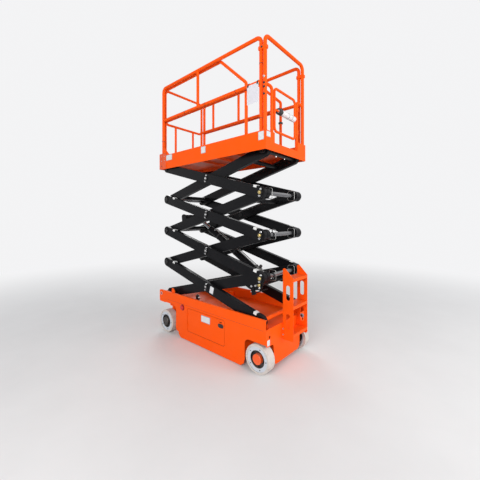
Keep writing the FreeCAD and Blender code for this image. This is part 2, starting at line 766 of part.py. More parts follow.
def rear_rail():
    x = at(rear_rail_at)
    y = half_width - rail_inset
    foot = floor_top
    top_z, jamb_z = floor_top + rail_height, floor_top + gate_top - 8
    arch = bent_tube([(V(x, y, foot), 0), (V(x, y, top_z), rail_bend),
                      (V(x, -y, top_z), rail_bend), (V(x, -y, foot), 0)], rail_radius)
    pieces = [arch]
    # place of the jamb across the deck, place of its corner post
    for post, corner in ((half_width - jamb_near, y), (jamb_far - half_width, -y)):
        pieces.append(bent_tube([(V(x, post, foot), 0), (V(x, post, jamb_z), 35), (V(x, corner, jamb_z), 0)],
                                rail_radius - 3))
    save("rail_rear", fused(*pieces))


def gate():
    x = at(rear_rail_at)
    left, right = half_width - gate_near, gate_far - half_width
    ring = tube_ring(x, right, left, floor_top + gate_bottom, floor_top + gate_top, gate_bend, gate_bar_radius)
    bar_z = floor_top + gate_mid_bar
    bar = rod(V(x, left, bar_z), V(x, right, bar_z), gate_bar_radius - 3)
    jamb = jamb_far - half_width
    pieces = [ring, bar]
    for height in hinge_heights:
        z = floor_top + height
        sleeve = rod(V(x, jamb, z), V(x, jamb, z + 40), rail_radius + 4)
        arm = box(x - 5, x + 5, jamb, right, z + 5, z + 35)
        bore = rod(V(x, jamb, z - 1), V(x, jamb, z + 41), rail_radius - 3 + running_gap)
        pieces.append(fused(sleeve, arm).cut(bore))
    save("gate", fused(*pieces))
    sleeve = rod(V(x, right + sleeve_far_end, bar_z), V(x, left - sleeve_near_end, bar_z), sleeve_radius)
    save("gate_sleeve", sleeve.cut(rod(V(x, left, bar_z), V(x, right, bar_z), gate_bar_radius - 2.9)))


def extension():
    y = half_width - inner_rail_inset
    edge = y + rail_radius
    low = floor_top + 0.3
    # the front board and its wings, which lie outside the fixed toe boards
    inner = half_width + running_gap
    outer = inner + wing_thick
    board_low, board_high = toe_bottom + 5, floor_top + front_board_above
    pieces = [box(at(brace_post_at - 25), at(front_board_at), -edge, edge, low, low + plate),
              box(at(front_board_at), at(front_board_at + wing_thick), -outer, outer, board_low, board_high)]
    for side in (-1, 1):
        pieces.append(box(at(wing_rear), at(front_board_at), *sorted((side * inner, side * outer)),
                          board_low, board_high))
    save("extension_floor", fused(*pieces))
    foot = low + plate
    x = at(front_rail_at)
    frame_low, mid_z, top_z = floor_top + front_frame_low, floor_top + mid_rail_height, floor_top + rail_height
    ring_tube, tube = rail_radius - 3, rail_radius - 2
    pieces = [tube_ring(x, -y, y, frame_low, top_z, rail_bend, ring_tube)]
    for side in (-1, 1):
        stub_y = side * (half_width - front_stub_inset)
        pieces.append(rod(V(x, stub_y, foot), V(x, stub_y, frame_low), ring_tube - 1))
        pieces.append(rod(V(x, side * y, foot), V(x, side * y, mid_z + rail_bend), tube))
    save("extension_front_rail", fused(*pieces))
    for name, side in (("extension_rail_left", 1), ("extension_rail_right", -1)):
        run = bent_tube([(V(x - ring_tube, side * y, top_z - 4), 0), (V(at(brace_top_at), side * y, top_z - 4), 50),
                         (V(at(brace_post_at), side * y, floor_top + brace_bend_height), 50),
                         (V(at(brace_post_at), side * y, foot), 0)], tube)
        mid = rod(V(at(brace_post_at), side * y, mid_z), V(x - tube, side * y, mid_z), tube)
        save(name, fused(run, mid))


base_point = arm_point(1, base_pin_along, -base_pin_below)
eye_point = arm_point(3, arm_pitch - eye_from_front_pin, eye_above)
# the cylinder's slope as seen from the arm that carries its eye
eye_lean = math.atan2(eye_point.z - base_point.z, eye_point.x - base_point.x) + rest_angle

chassis_core()
tray()
side_rail()
skirt()
rear_plate()
ladder()
front_axle()
kingpin_fork("knuckle_left", 1)
kingpin_fork("knuckle_right", -1)
rear_spindles()
# name suffix, distance from the rear end, side
for suffix, forward, side in (("front_left", front_wheel_at, 1), ("front_right", front_wheel_at, -1),
                              ("rear_left", rear_wheel_at, 1), ("rear_right", rear_wheel_at, -1)):
    wheel(suffix, forward, side)
side_door("door_left", 1)
side_door("door_right", -1)
pothole_guard("guard_left", 1)
pothole_guard("guard_right", -1)
power_packs()
arm_tracks()
pivot_lugs()
for level in range(1, level_count + 1):
    outer_arms(level)
    arm_pins(level)
    inner_arms(level)
lift_cylinder()
deck()
deck_rails()
rear_rail()
gate()
extension()
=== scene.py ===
import math

import bmesh
import bpy
from mathutils import Matrix, Vector


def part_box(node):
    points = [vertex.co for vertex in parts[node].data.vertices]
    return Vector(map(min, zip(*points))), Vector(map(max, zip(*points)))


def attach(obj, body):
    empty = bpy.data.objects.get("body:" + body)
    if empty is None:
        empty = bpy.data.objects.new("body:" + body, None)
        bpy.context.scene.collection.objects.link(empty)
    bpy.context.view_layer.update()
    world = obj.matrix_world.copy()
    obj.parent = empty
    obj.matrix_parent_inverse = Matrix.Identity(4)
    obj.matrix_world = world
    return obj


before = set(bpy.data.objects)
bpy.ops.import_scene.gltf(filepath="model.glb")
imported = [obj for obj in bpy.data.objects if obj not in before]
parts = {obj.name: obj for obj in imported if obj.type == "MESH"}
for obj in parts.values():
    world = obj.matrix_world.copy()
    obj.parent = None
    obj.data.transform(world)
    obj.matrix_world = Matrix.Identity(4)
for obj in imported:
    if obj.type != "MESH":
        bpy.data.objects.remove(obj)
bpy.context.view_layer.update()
print("frame loaded:", len(parts), "CAD nodes")

# Where things are on the machine. "along" is metres forward from the chassis's rear end,
# "inset" is metres in from the left side.
lift = {"rearEnd": -0.876, "leftSide": 0.415, "pivotAlong": 0.096, "pivotHeight": 0.530,
        "armPitch": 1.7234, "levelRise": 0.445, "levels": 4, "outerFace": 0.380,
        "armThick": 0.050, "armHeight": 0.120, "axleHeight": 0.1525, "rearAxle": 0.105, "frontAxle": 1.712}
restLean = math.asin(lift["levelRise"] / lift["armPitch"])
rearPinX = lift["rearEnd"] + lift["pivotAlong"]
frontPinX = rearPinX + lift["armPitch"] * math.cos(restLean)
centrePinX = (rearPinX + frontPinX) / 2
levels = range(1, lift["levels"] + 1)


def spot(along, y, height):
    return Vector((lift["rearEnd"] + along, y, height))


def at(along, inset, height):
    return spot(along, lift["leftSide"] - inset, height)


def pinHeight(level):
    return lift["pivotHeight"] + lift["levelRise"] * level


# helpers for every node tree

def feed(socket, value):
    # another node's output is linked to the socket, anything else becomes its value
    if isinstance(value, bpy.types.NodeSocket):
        socket.id_data.links.new(value, socket)
    else:
        socket.default_value = value


def fill(node, **inputs):
    # socket names are written with _ for their spaces
    for key, value in inputs.items():
        feed(node.inputs[key.replace("_", " ")], value)


def addNode(tree, kind, inputs=None, **settings):
    node = tree.nodes.new(kind if "Node" in kind else "ShaderNode" + kind)
    for key, value in settings.items():
        setattr(node, key, value)
    for key, value in (inputs or {}).items():
        feed(node.inputs[key], value)
    return node


def newGroup(name, kind, inputs, outputs):
    # inputs and outputs: (socket name, socket type, default)
    tree = bpy.data.node_groups.new(name, kind)
    for direction, sockets in (("INPUT", inputs), ("OUTPUT", outputs)):
        for label, socketKind, default in sockets:
            socket = tree.interface.new_socket(label, in_out=direction, socket_type="NodeSocket" + socketKind)
            if default is not None:
                socket.default_value = default
    return tree, tree.nodes.new("NodeGroupInput").outputs, tree.nodes.new("NodeGroupOutput").inputs


def useGroup(tree, group, **inputs):
    node = addNode(tree, "Group", node_tree=group)
    fill(node, **inputs)
    return node.outputs


def calc(tree, operation, *values, clamp=False):
    return addNode(tree, "Math", dict(enumerate(values)), operation=operation, use_clamp=clamp).outputs[0]


def mixColor(tree, factor, first, second):
    return addNode(tree, "Mix", {0: factor, 6: first, 7: second}, data_type="RGBA").outputs[2]


def shade(tree, color, value):
    return addNode(tree, "HueSaturation", {"Color": color, "Value": value}).outputs[0]


def ramp(tree, value, low, high):
    return addNode(tree, "MapRange", {0: value, 1: low, 2: high}, interpolation_type="SMOOTHSTEP").outputs[0]


def objectPlace(tree):
    # a tree has one Texture Coordinate node, made when it is first asked for
    node = tree.nodes.get("objectPlace") or addNode(tree, "TexCoord", name="objectPlace")
    return node.outputs["Object"]


def noise(tree, scale, detail, roughness=0.5):
    return addNode(tree, "TexNoise", {"Vector": objectPlace(tree), "Scale": scale, "Detail": detail,
                                      "Roughness": roughness}).outputs[0]


def split(tree, vector):
    return addNode(tree, "SeparateXYZ", {0: vector}).outputs


def surfaceNormal(tree):
    return addNode(tree, "NewGeometry").outputs["Normal"]


# shader groups shared by several finishes

midGrey = (0.5, 0.5, 0.5, 1)


def makeDustGroup():
    # settled dust on faces that look up, thinner and blotchy elsewhere
    tree, given, result = newGroup("settledDust", "ShaderNodeTree", (
        ("Color", "Color", midGrey), ("Dust Color", "Color", (0.45, 0.40, 0.34, 1)),
        ("Amount", "Float", 0.3), ("Scale", "Float", 9.0)),
        (("Color", "Color", None), ("Dust", "Float", None)))
    upward = ramp(tree, split(tree, surfaceNormal(tree))[2], 0.1, 0.95)
    patchy = ramp(tree, noise(tree, given["Scale"], 6.0, 0.65), 0.38, 0.72)
    cover = calc(tree, "MULTIPLY_ADD", upward, 0.75, 0.25)
    amount = calc(tree, "MULTIPLY", calc(tree, "MULTIPLY", cover, patchy), given["Amount"], clamp=True)
    feed(result["Color"], mixColor(tree, amount, given["Color"], given["Dust Color"]))
    feed(result["Dust"], amount)
    return tree


def makeWearGroup():
    # paint rubbed through to primer in small chips along edges
    tree, given, result = newGroup("edgeWear", "ShaderNodeTree", (
        ("Color", "Color", midGrey), ("Bare Color", "Color", (0.3, 0.3, 0.3, 1)), ("Width", "Float", 0.003),
        ("Amount", "Float", 0.5), ("Scale", "Float", 60.0)), (("Color", "Color", None),))
    soft = addNode(tree, "Bevel", {"Radius": given["Width"]}, samples=4).outputs[0]
    match = addNode(tree, "VectorMath", {0: soft, 1: surfaceNormal(tree)}, operation="DOT_PRODUCT")
    edge = ramp(tree, calc(tree, "SUBTRACT", 1.0, match.outputs["Value"]), 0.02, 0.22)
    chips = ramp(tree, noise(tree, given["Scale"], 5.0, 0.7), 0.50, 0.62)
    wear = calc(tree, "MULTIPLY", calc(tree, "MULTIPLY", edge, chips), given["Amount"], clamp=True)
    feed(result["Color"], mixColor(tree, wear, given["Color"], given["Bare Color"]))
    return tree


def makeRippleGroup():
    # the slight ripple of sprayed or baked paint, and its drift in tone
    tree, given, result = newGroup("paintRipple", "ShaderNodeTree", (
        ("Color", "Color", midGrey), ("Ripple Scale", "Float", 420.0), ("Tone", "Float", 0.06)),
        (("Color", "Color", None), ("Height", "Float", None), ("Gloss Shift", "Float", None)))
    drift = calc(tree, "SUBTRACT", noise(tree, 2.3, 3.0), 0.5)
    shift = calc(tree, "MULTIPLY", drift, given["Tone"])
    feed(result["Color"], shade(tree, given["Color"], calc(tree, "ADD", shift, 1.0)))
    feed(result["Height"], noise(tree, given["Ripple Scale"], 2.0))
    feed(result["Gloss Shift"], calc(tree, "MULTIPLY", shift, 1.5))
    return tree


dustGroup, wearGroup, rippleGroup = makeDustGroup(), makeWearGroup(), makeRippleGroup()


# finishes

finishes = {}


def newFinish(name):
    material = bpy.data.materials.new(name)
    material.use_nodes = True
    finishes[name] = material
    return material.node_tree, material.node_tree.nodes["Principled BSDF"]


def addBump(shader, height, strength, distance):
    bump = addNode(shader.id_data, "Bump", {"Height": height, "Strength": strength, "Distance": distance})
    fill(shader, Normal=bump.outputs[0])


def paintFinish(name, look):
    tree, shader = newFinish(name)
    ripple = useGroup(tree, rippleGroup, Color=look["color"], Ripple_Scale=look["ripple"], Tone=look["tone"])
    worn = useGroup(tree, wearGroup, Color=ripple["Color"], Bare_Color=look["bare"], Width=look["wearWidth"],
                    Amount=look["wear"], Scale=look["chipScale"])
    dusty = useGroup(tree, dustGroup, Color=worn["Color"], Dust_Color=look["dustColor"], Amount=look["dust"],
                     Scale=look["dustScale"])
    rough = calc(tree, "ADD", calc(tree, "MULTIPLY_ADD", dusty["Dust"], 0.35, look["roughness"]),
                 ripple["Gloss Shift"], clamp=True)
    fill(shader, Base_Color=dusty["Color"], Roughness=rough, Coat_Weight=look["coat"], Coat_Roughness=0.18,
         Specular_IOR_Level=look["gloss"])
    addBump(shader, ripple["Height"], look["bump"], 0.0004)


paintLooks = {
    "orangeCoat": {"color": (0.93, 0.094, 0.003, 1), "ripple": 380.0, "tone": 0.07,
                   "bare": (0.46, 0.07, 0.015, 1),
                   "wearWidth": 0.0025, "wear": 0.30, "chipScale": 55.0, "dustColor": (0.60, 0.33, 0.20, 1),
                   "dust": 0.07, "dustScale": 7.0, "roughness": 0.44, "coat": 0.0, "gloss": 0.09,
                   "bump": 0.08},
    "armBlack": {"color": (0.0045, 0.0045, 0.0056, 1), "ripple": 300.0, "tone": 0.3,
                 "bare": (0.07, 0.07, 0.07, 1),
                 "wearWidth": 0.003, "wear": 0.30, "chipScale": 70.0, "dustColor": (0.10, 0.095, 0.09, 1),
                 "dust": 0.08, "dustScale": 6.0, "roughness": 0.40, "coat": 0.14, "gloss": 0.08,
                 "bump": 0.15},
    "darkSteel": {"color": (0.018, 0.018, 0.020, 1), "ripple": 200.0, "tone": 0.3,
                  "bare": (0.18, 0.18, 0.18, 1),
                  "wearWidth": 0.002, "wear": 0.5, "chipScale": 90.0, "dustColor": (0.25, 0.21, 0.18, 1),
                  "dust": 0.3, "dustScale": 12.0, "roughness": 0.42, "coat": 0.0, "gloss": 0.4, "bump": 0.2},
}
for name, look in paintLooks.items():
    paintFinish(name, look)


def metalFinish(name, color, roughness, streak=240.0, bump=0.05):
    tree, shader = newFinish(name)
    scuffs = noise(tree, streak, 4.0, 0.7)
    tone = calc(tree, "MULTIPLY_ADD", noise(tree, 22.0, 3.0), 0.5, 0.72)
    rough = calc(tree, "MULTIPLY_ADD", scuffs, 0.22, roughness - 0.1, clamp=True)
    fill(shader, Base_Color=shade(tree, color, tone), Roughness=rough, Metallic=1.0)
    addBump(shader, scuffs, bump, 0.0003)


metalFinish("zincYellow", (0.62, 0.50, 0.22, 1), 0.36)
metalFinish("zincBright", (0.70, 0.70, 0.70, 1), 0.30)
metalFinish("zincDull", (0.34, 0.34, 0.33, 1), 0.42)
# the rod's colour is kept dark to stand in for the black arms it reflects: painted reflection
metalFinish("rodChrome", (0.50, 0.51, 0.53, 1), 0.16, streak=500.0, bump=0.01)


def plasticFinish(name, color, roughness, grain=600.0, bump=0.12, dust=0.15):
    tree, shader = newFinish(name)
    pores = noise(tree, grain, 3.0)
    dusty = useGroup(tree, dustGroup, Color=color, Amount=dust, Scale=20.0)
    rough = calc(tree, "MULTIPLY_ADD", pores, 0.2, roughness - 0.1, clamp=True)
    fill(shader, Base_Color=dusty["Color"], Roughness=rough)
    addBump(shader, pores, bump, 0.0005)


plasticFinish("blackRubber", (0.016, 0.016, 0.017, 1), 0.55)
plasticFinish("blackPlastic", (0.014, 0.014, 0.015, 1), 0.38)
plasticFinish("whitePad", (0.72, 0.72, 0.70, 1), 0.45)
plasticFinish("signWhite", (0.66, 0.67, 0.68, 1), 0.32, grain=200.0, bump=0.02, dust=0.1)
plasticFinish("signGrey", (0.30, 0.32, 0.35, 1), 0.36, grain=200.0, bump=0.02, dust=0.1)
plasticFinish("stopRed", (0.55, 0.012, 0.010, 1), 0.28, grain=300.0, bump=0.04)
plasticFinish("stopDark", (0.30, 0.008, 0.006, 1), 0.35, grain=300.0, bump=0.04)
# dark brown that paints the shadow line under the side rails' step
plasticFinish("seamShadowBrown", (0.42, 0.032, 0.002, 1), 0.6, grain=260.0, bump=0.2, dust=0.3)
plasticFinish("sleeveWhite", (0.74, 0.72, 0.73, 1), 0.62, grain=160.0, bump=0.3, dust=0.2)
plasticFinish("cardPaper", (0.66, 0.64, 0.68, 1), 0.5, grain=120.0, bump=0.05, dust=0.0)
plasticFinish("batteryCase", (0.03, 0.03, 0.033, 1), 0.45)


def tyreFinish():
    # pale non-marking rubber with dust trodden in
    tree, shader = newFinish("tyreBeige")
    grime = noise(tree, 26.0, 7.0, 0.7)
    color = mixColor(tree, ramp(tree, grime, 0.45, 0.80), (0.58, 0.53, 0.49, 1), (0.40, 0.33, 0.27, 1))
    fill(shader, Base_Color=color, Roughness=calc(tree, "MULTIPLY_ADD", grime, 0.2, 0.55))
    addBump(shader, calc(tree, "ADD", noise(tree, 420.0, 3.0), grime), 0.35, 0.0008)


def checkerFinish():
    # raised lozenges on top of the deck floor, turned by turns, and orange paint on its edges and underside
    tree, shader = newFinish("checkerPlate")
    look = {"pitch": 0.028, "length": 2.3, "width": 7.0, "fadeFrom": 0.55, "fadeTo": 1.0,
            "steel": (0.52, 0.52, 0.53, 1), "steelLow": (0.30, 0.30, 0.30, 1),
            "steelDirty": (0.16, 0.14, 0.12, 1),
            "paint": (0.80, 0.085, 0.004, 1), "paintDirty": (0.62, 0.065, 0.004, 1)}
    onTop = calc(tree, "GREATER_THAN", split(tree, surfaceNormal(tree))[2], 0.5)
    x, y, _ = split(tree, objectPlace(tree))
    rising, falling = (calc(tree, "MULTIPLY", calc(tree, way, x, y), 1 / look["pitch"])
                       for way in ("ADD", "SUBTRACT"))

    def fromMiddle(value, shift, stretch):
        # squared distance from the middle of the point's cell
        cell = calc(tree, "SUBTRACT", calc(tree, "FRACT", calc(tree, "ADD", value, shift)), 0.5)
        return calc(tree, "POWER", calc(tree, "MULTIPLY", cell, stretch), 2.0)

    masks = []
    for long, short, shift in ((rising, falling, 0.0), (falling, rising, 0.5)):
        away = calc(tree, "ADD", fromMiddle(long, shift, look["length"]),
                    fromMiddle(short, shift, look["width"]))
        masks.append(calc(tree, "SUBTRACT", 1.0, ramp(tree, away, look["fadeFrom"], look["fadeTo"])))
    raised = calc(tree, "MAXIMUM", *masks)
    grime = noise(tree, 9.0, 5.0)
    low = mixColor(tree, ramp(tree, grime, 0.35, 0.7), look["steelLow"], look["steelDirty"])
    painted = mixColor(tree, ramp(tree, grime, 0.3, 0.75), look["paint"], look["paintDirty"])
    fill(shader, Base_Color=mixColor(tree, onTop, painted, mixColor(tree, raised, low, look["steel"])),
         Roughness=calc(tree, "MULTIPLY_ADD", grime, 0.25, 0.3), Metallic=calc(tree, "MULTIPLY", onTop, 0.85))
    addBump(shader, calc(tree, "MULTIPLY", raised, onTop), 0.8, 0.0015)


def splitFinish(name, axis, edge, low, high):
    # two finishes on one piece, told apart by where a point lies along one axis
    # low and high: color, metallic, roughness
    tree, shader = newFinish(name)
    along = split(tree, objectPlace(tree))["xyz".index(axis[-1])]
    if axis.startswith("abs"):
        along = calc(tree, "ABSOLUTE", along)
    past = calc(tree, "GREATER_THAN", along, edge)
    cloud = noise(tree, 60.0, 5.0, 0.7)
    shaded = shade(tree, mixColor(tree, past, low[0], high[0]), calc(tree, "MULTIPLY_ADD", cloud, 0.4, 0.8))
    dusty = useGroup(tree, dustGroup, Color=shaded, Dust_Color=(0.30, 0.26, 0.22, 1), Amount=0.2, Scale=14.0)
    metallic, rough = (calc(tree, "MULTIPLY_ADD", past, high[i] - low[i], low[i]) for i in (1, 2))
    rough = calc(tree, "MULTIPLY_ADD", cloud, 0.16, calc(tree, "SUBTRACT", rough, 0.08))
    fill(shader, Base_Color=dusty["Color"], Metallic=metallic, Roughness=rough, Specular_IOR_Level=0.35)
    addBump(shader, cloud, 0.1, 0.0003)


tyreFinish()
checkerFinish()
# black for the pin heads, and for the deck's rear lugs, where it is partly painted shade from the toe board's
# shadow
blackPaintAndShade, orangePaint = (0.0055, 0.0055, 0.0065, 1), (0.80, 0.085, 0.004, 1)
# the shaft colour is darkened to stand in for the dark surroundings the shafts reflect: painted reflection,
# leaving only thin highlight lines bright
pinBright = (0.24, 0.24, 0.25, 1)
# bright shafts between the arms, black heads and spacers outside them
splitFinish("pinSteel", "abs y", 0.262, (pinBright, 1.0, 0.24), (blackPaintAndShade, 0.0, 0.40))
# black lugs and shaft at the rear of the deck, partly painted shade where the toe board's shadow falls on
# them, orange bearers ahead of them
splitFinish("bearerPaintAndShade", "x", rearPinX + 0.07, (blackPaintAndShade, 0.0, 0.38), (orangePaint, 0.0, 0.42))


def hubFinish(name, along, capColor):
    # one painted wheel: pale rim, dark hub ring and a cap, told apart by how far they are from the axle
    look = {"cap": 0.0545, "hub": 0.0895, "rimColor": (0.55, 0.59, 0.64, 1),
            "hubColor": (0.010, 0.010, 0.011, 1),
            "bare": (0.22, 0.21, 0.2, 1), "dustColor": (0.42, 0.34, 0.28, 1)}
    tree, shader = newFinish(name)
    x, _, z = split(tree, objectPlace(tree))
    dx = calc(tree, "SUBTRACT", x, lift["rearEnd"] + along)
    dz = calc(tree, "SUBTRACT", z, lift["axleHeight"])
    away = calc(tree, "SQRT", calc(tree, "ADD", calc(tree, "MULTIPLY", dx, dx),
                                   calc(tree, "MULTIPLY", dz, dz)))
    color = look["rimColor"]
    for edge, inside in ((look["hub"], look["hubColor"]), (look["cap"], capColor)):
        color = mixColor(tree, calc(tree, "LESS_THAN", away, edge), color, inside)
    worn = useGroup(tree, wearGroup, Color=color, Bare_Color=look["bare"], Width=0.002, Amount=0.4,
                    Scale=80.0)
    dusty = useGroup(tree, dustGroup, Color=worn["Color"], Dust_Color=look["dustColor"], Amount=0.45,
                     Scale=18.0)
    fill(shader, Base_Color=dusty["Color"],
         Roughness=calc(tree, "MULTIPLY_ADD", dusty["Dust"], 0.4, 0.36, clamp=True))
    addBump(shader, noise(tree, 300.0, 2.0), 0.15, 0.0004)


hubFinish("rearHub", lift["rearAxle"], (0.86, 0.092, 0.004, 1))
hubFinish("frontHub", lift["frontAxle"], (0.012, 0.012, 0.013, 1))
print("finishes made:", len(finishes))


def finishOf(node):
    if node.startswith("tyre_"):
        return "tyreBeige"
    if node.startswith("rim_"):
        return "rearHub" if "rear" in node else "frontHub"
    if node.startswith(("outer_arms", "inner_arms", "lift_barrel")):
        return "armBlack"
    if node.startswith("arm_pins"):
        return "pinSteel"
    return {"lift_rod": "rodChrome", "track_rollers": "pinSteel", "rear_spindles": "darkSteel",
            "battery_box": "batteryCase", "hydraulic_unit": "darkSteel", "gate_sleeve": "sleeveWhite",
            "deck_floor": "checkerPlate", "extension_floor": "checkerPlate",
            "deck_bearers": "bearerPaintAndShade"}.get(node, "orangeCoat")


for name, part in parts.items():
    part.data.materials.clear()
    part.data.materials.append(finishes[finishOf(name)])


# stage, light and camera

backdropColor = (0.90, 0.90, 0.91, 1)


def makeStage():
    look = {"size": 60.0, "color": (0.80, 0.79, 0.78, 1), "mottle": (0.72, 0.71, 0.70, 1),
            "meltFrom": 2.2, "meltTo": 8.0}
    mesh = bpy.data.meshes.new("studioFloor")
    half = look["size"] / 2
    mesh.from_pydata([(-half, -half, 0), (half, -half, 0), (half, half, 0), (-half, half, 0)], [],
                     [(0, 1, 2, 3)])
    floor = bpy.data.objects.new("studioFloor", mesh)
    bpy.context.scene.collection.objects.link(floor)
    tree, shader = newFinish("studioFloor")
    fill(shader, Base_Color=mixColor(tree, noise(tree, 1.5, 8.0, 0.6), look["color"], look["mottle"]),
         Roughness=0.8, Specular_IOR_Level=0.2)
    # far from the machine the floor melts into the backdrop, for the camera only
    flatPlace = addNode(tree, "VectorMath", {0: objectPlace(tree), 1: (1.0, 1.0, 0.0)}, operation="MULTIPLY")
    away = addNode(tree, "VectorMath", {0: flatPlace.outputs[0]}, operation="LENGTH").outputs["Value"]
    seen = addNode(tree, "LightPath").outputs["Is Camera Ray"]
    melt = calc(tree, "MULTIPLY", ramp(tree, away, look["meltFrom"], look["meltTo"]), seen)
    glow = addNode(tree, "Emission", {"Color": backdropColor, "Strength": 1.0}).outputs[0]
    blend = addNode(tree, "MixShader", {0: melt, 1: shader.outputs[0], 2: glow})
    fill(tree.nodes["Material Output"], Surface=blend.outputs[0])
    mesh.materials.append(finishes["studioFloor"])


def makeLights():
    world = bpy.data.worlds.new("studioWorld")
    bpy.context.scene.world = world
    world.use_nodes = True
    tree = world.node_tree
    rays = addNode(tree, "LightPath").outputs
    seen = calc(tree, "MAXIMUM", rays["Is Camera Ray"], rays["Is Transmission Ray"])
    seen = calc(tree, "MAXIMUM", seen, rays["Is Glossy Ray"])
    fill(tree.nodes["Background"], Color=mixColor(tree, seen, (0.92, 0.95, 1.0, 1), backdropColor),
         Strength=calc(tree, "MULTIPLY_ADD", seen, 0.5, 0.5))
    # name, place, aim, size, power
    lamps = (("keyLamp", (-2.8, 6.6, 3.4), (0.0, 0.0, 1.0), 3.0, 320.0),
             ("fillLamp", (-6.8, -1.2, 2.8), (0.0, 0.0, 1.0), 3.5, 250.0),
             ("frontLamp", (6.0, -4.5, 4.5), (0.0, 0.0, 1.6), 3.5, 170.0))
    for name, place, aim, size, power in lamps:
        light = bpy.data.lights.new(name, "AREA")
        light.size, light.energy = size, power
        lamp = bpy.data.objects.new(name, light)
        lamp.location = place
        lamp.rotation_euler = (Vector(aim) - Vector(place)).to_track_quat("-Z", "Y").to_euler()
        bpy.context.scene.collection.objects.link(lamp)


def makeCamera():
    look = {"along": -1.605, "inset": -2.234, "height": 1.6, "aim": (0.6565, -0.7536, 0.0),
            "focalPixels": 274.0, "framePixels": 480.0, "horizonPixel": 218.0, "sensor": 36.0}
    data = bpy.data.cameras.new("photoCamera")
    camera = bpy.data.objects.new("photoCamera", data)
    bpy.context.scene.collection.objects.link(camera)
    camera.location = at(look["along"], look["inset"], look["height"])
    camera.rotation_euler = Vector(look["aim"]).to_track_quat("-Z", "Y").to_euler()
    data.sensor_width = look["sensor"]
    data.lens = look["focalPixels"] / look["framePixels"] * look["sensor"]
    data.shift_y = (look["horizonPixel"] - look["framePixels"] / 2) / look["framePixels"]
    bpy.context.scene.camera = camera


# helpers for the pieces made here

def armPlace(kind, level, along, up, across):
    # a place on a scissor arm, measured along it from its rear pin
    rise = 1 if kind == "outer" else -1
    rearLevel = level - 1 if kind == "outer" else level
    c, s = math.cos(restLean), rise * math.sin(restLean)
    return Vector((rearPinX + along * c - up * s, across, pinHeight(rearLevel) + along * s + up * c))


def armTurn(kind):
    # lines a piece up with an arm: x along the arm, z out of its top edge
    return Matrix.Rotation(-restLean if kind == "outer" else restLean, 4, "Y")


def addToScene(name, mesh, body, finish):
    piece = bpy.data.objects.new(name, mesh)
    bpy.context.scene.collection.objects.link(piece)
    if finish is not None:
        mesh.materials.clear()
        mesh.materials.append(finishes[finish])
    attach(piece, body)
    return piece


def meshFrom(name, bm, smooth=False):
    bmesh.ops.remove_doubles(bm, verts=bm.verts, dist=1e-6)
    bmesh.ops.recalc_face_normals(bm, faces=bm.faces)
    mesh = bpy.data.meshes.new(name)
    bm.to_mesh(mesh)
    bm.free()
    if smooth:
        mesh.shade_smooth()
    return mesh


def shapePiece(name, bm, body, finish, smooth=False):
    return addToScene(name, meshFrom(name, bm, smooth), body, finish)


def addBlock(bm, size, place, turn=None, bevel=0.0, segments=2):
    # a box with eased edges, centred on place
    made = bmesh.ops.create_cube(bm, size=1.0)["verts"]
    bmesh.ops.scale(bm, vec=size, verts=made)
    if bevel:
        edges = list(dict.fromkeys(e for v in made for e in v.link_edges))
        new = bmesh.ops.bevel(bm, geom=edges, offset=bevel, segments=segments, affect="EDGES", profile=0.5)
        made = list({v for f in new["faces"] for v in f.verts} | {v for v in made if v.is_valid})
    move = Matrix.Translation(place) @ (turn or Matrix.Identity(4))
    bmesh.ops.transform(bm, matrix=move, verts=made)
    return made


def axisMove(place, axis):
    return Matrix.Translation(place) @ Vector(axis).to_track_quat("Z", "Y").to_matrix().to_4x4()


def ringAt(bm, move, along, radius, steps):
    angles = [2 * math.pi * i / steps for i in range(steps)]
    return [bm.verts.new(move @ Vector((radius * math.cos(angle), radius * math.sin(angle), along)))
            for angle in angles]


def bridge(bm, low, high):
    # walls between two loops with as many points each
    for i in range(len(low)):
        j = (i + 1) % len(low)
        bm.faces.new((low[i], low[j], high[j], high[i]))


def addTurned(bm, profile, place, axis, steps=24):
    # profile: (distance along the axis, radius), spun into a closed shape
    move = axisMove(place, axis)
    rings = []
    for along, radius in profile:
        if radius < 1e-6:
            rings.append([bm.verts.new(move @ Vector((0, 0, along)))])
        else:
            rings.append(ringAt(bm, move, along, radius, steps))
    for low, high in zip(rings, rings[1:]):
        if len(low) == len(high):
            bridge(bm, low, high)
            continue
        for i in range(steps):
            j = (i + 1) % steps
            bm.faces.new((low[0], high[j], high[i]) if len(low) == 1 else (low[i], low[j], high[0]))
    for ring in (rings[0], rings[-1]):
        if len(ring) > 1:
            bm.faces.new(ring)


def addRing(bm, inner, outer, width, place, axis, steps=32):
    # a flat-sided ring round an axis, from place on along it
    move = axisMove(place, axis)
    ease = min(width, outer - inner) * 0.2
    corners = ((0, inner), (width, inner), (width, outer - ease), (width - ease, outer), (ease, outer),
               (0, outer - ease))
    rings = [ringAt(bm, move, along, radius, steps) for along, radius in corners]
    for low, high in zip(rings, rings[1:] + rings[:1]):
        bridge(bm, low, high)


def addOutline(bm, points, thick, place, turn):
    # a flat outline in x and y, given a thickness along z from place on
    move = Matrix.Translation(place) @ turn
    low, high = ([bm.verts.new(move @ Vector((x, y, z))) for x, y in points] for z in (0, thick))
    bm.faces.new(low[::-1])
    bm.faces.new(high)
    bridge(bm, low, high)


def roundedOutline(width, height, radius, steps=5):
    points = []
    for cx, cy, start in ((1, 1, 0), (-1, 1, 90), (-1, -1, 180), (1, -1, 270)):
        for i in range(steps + 1):
            angle = math.radians(start + 90 * i / steps)
            points.append((cx * (width / 2 - radius) + radius * math.cos(angle),
                           cy * (height / 2 - radius) + radius * math.sin(angle)))
    return points


def facingSide(side):
    # turns a flat outline to stand on the machine's side, its thickness going outwards
    return Matrix(((-side, 0, 0, 0), (0, 0, side, 0), (0, 1, 0, 0), (0, 0, 0, 1)))


facingRear = Matrix(((0, 0, -1, 0), (-1, 0, 0, 0), (0, 1, 0, 0), (0, 0, 0, 1)))


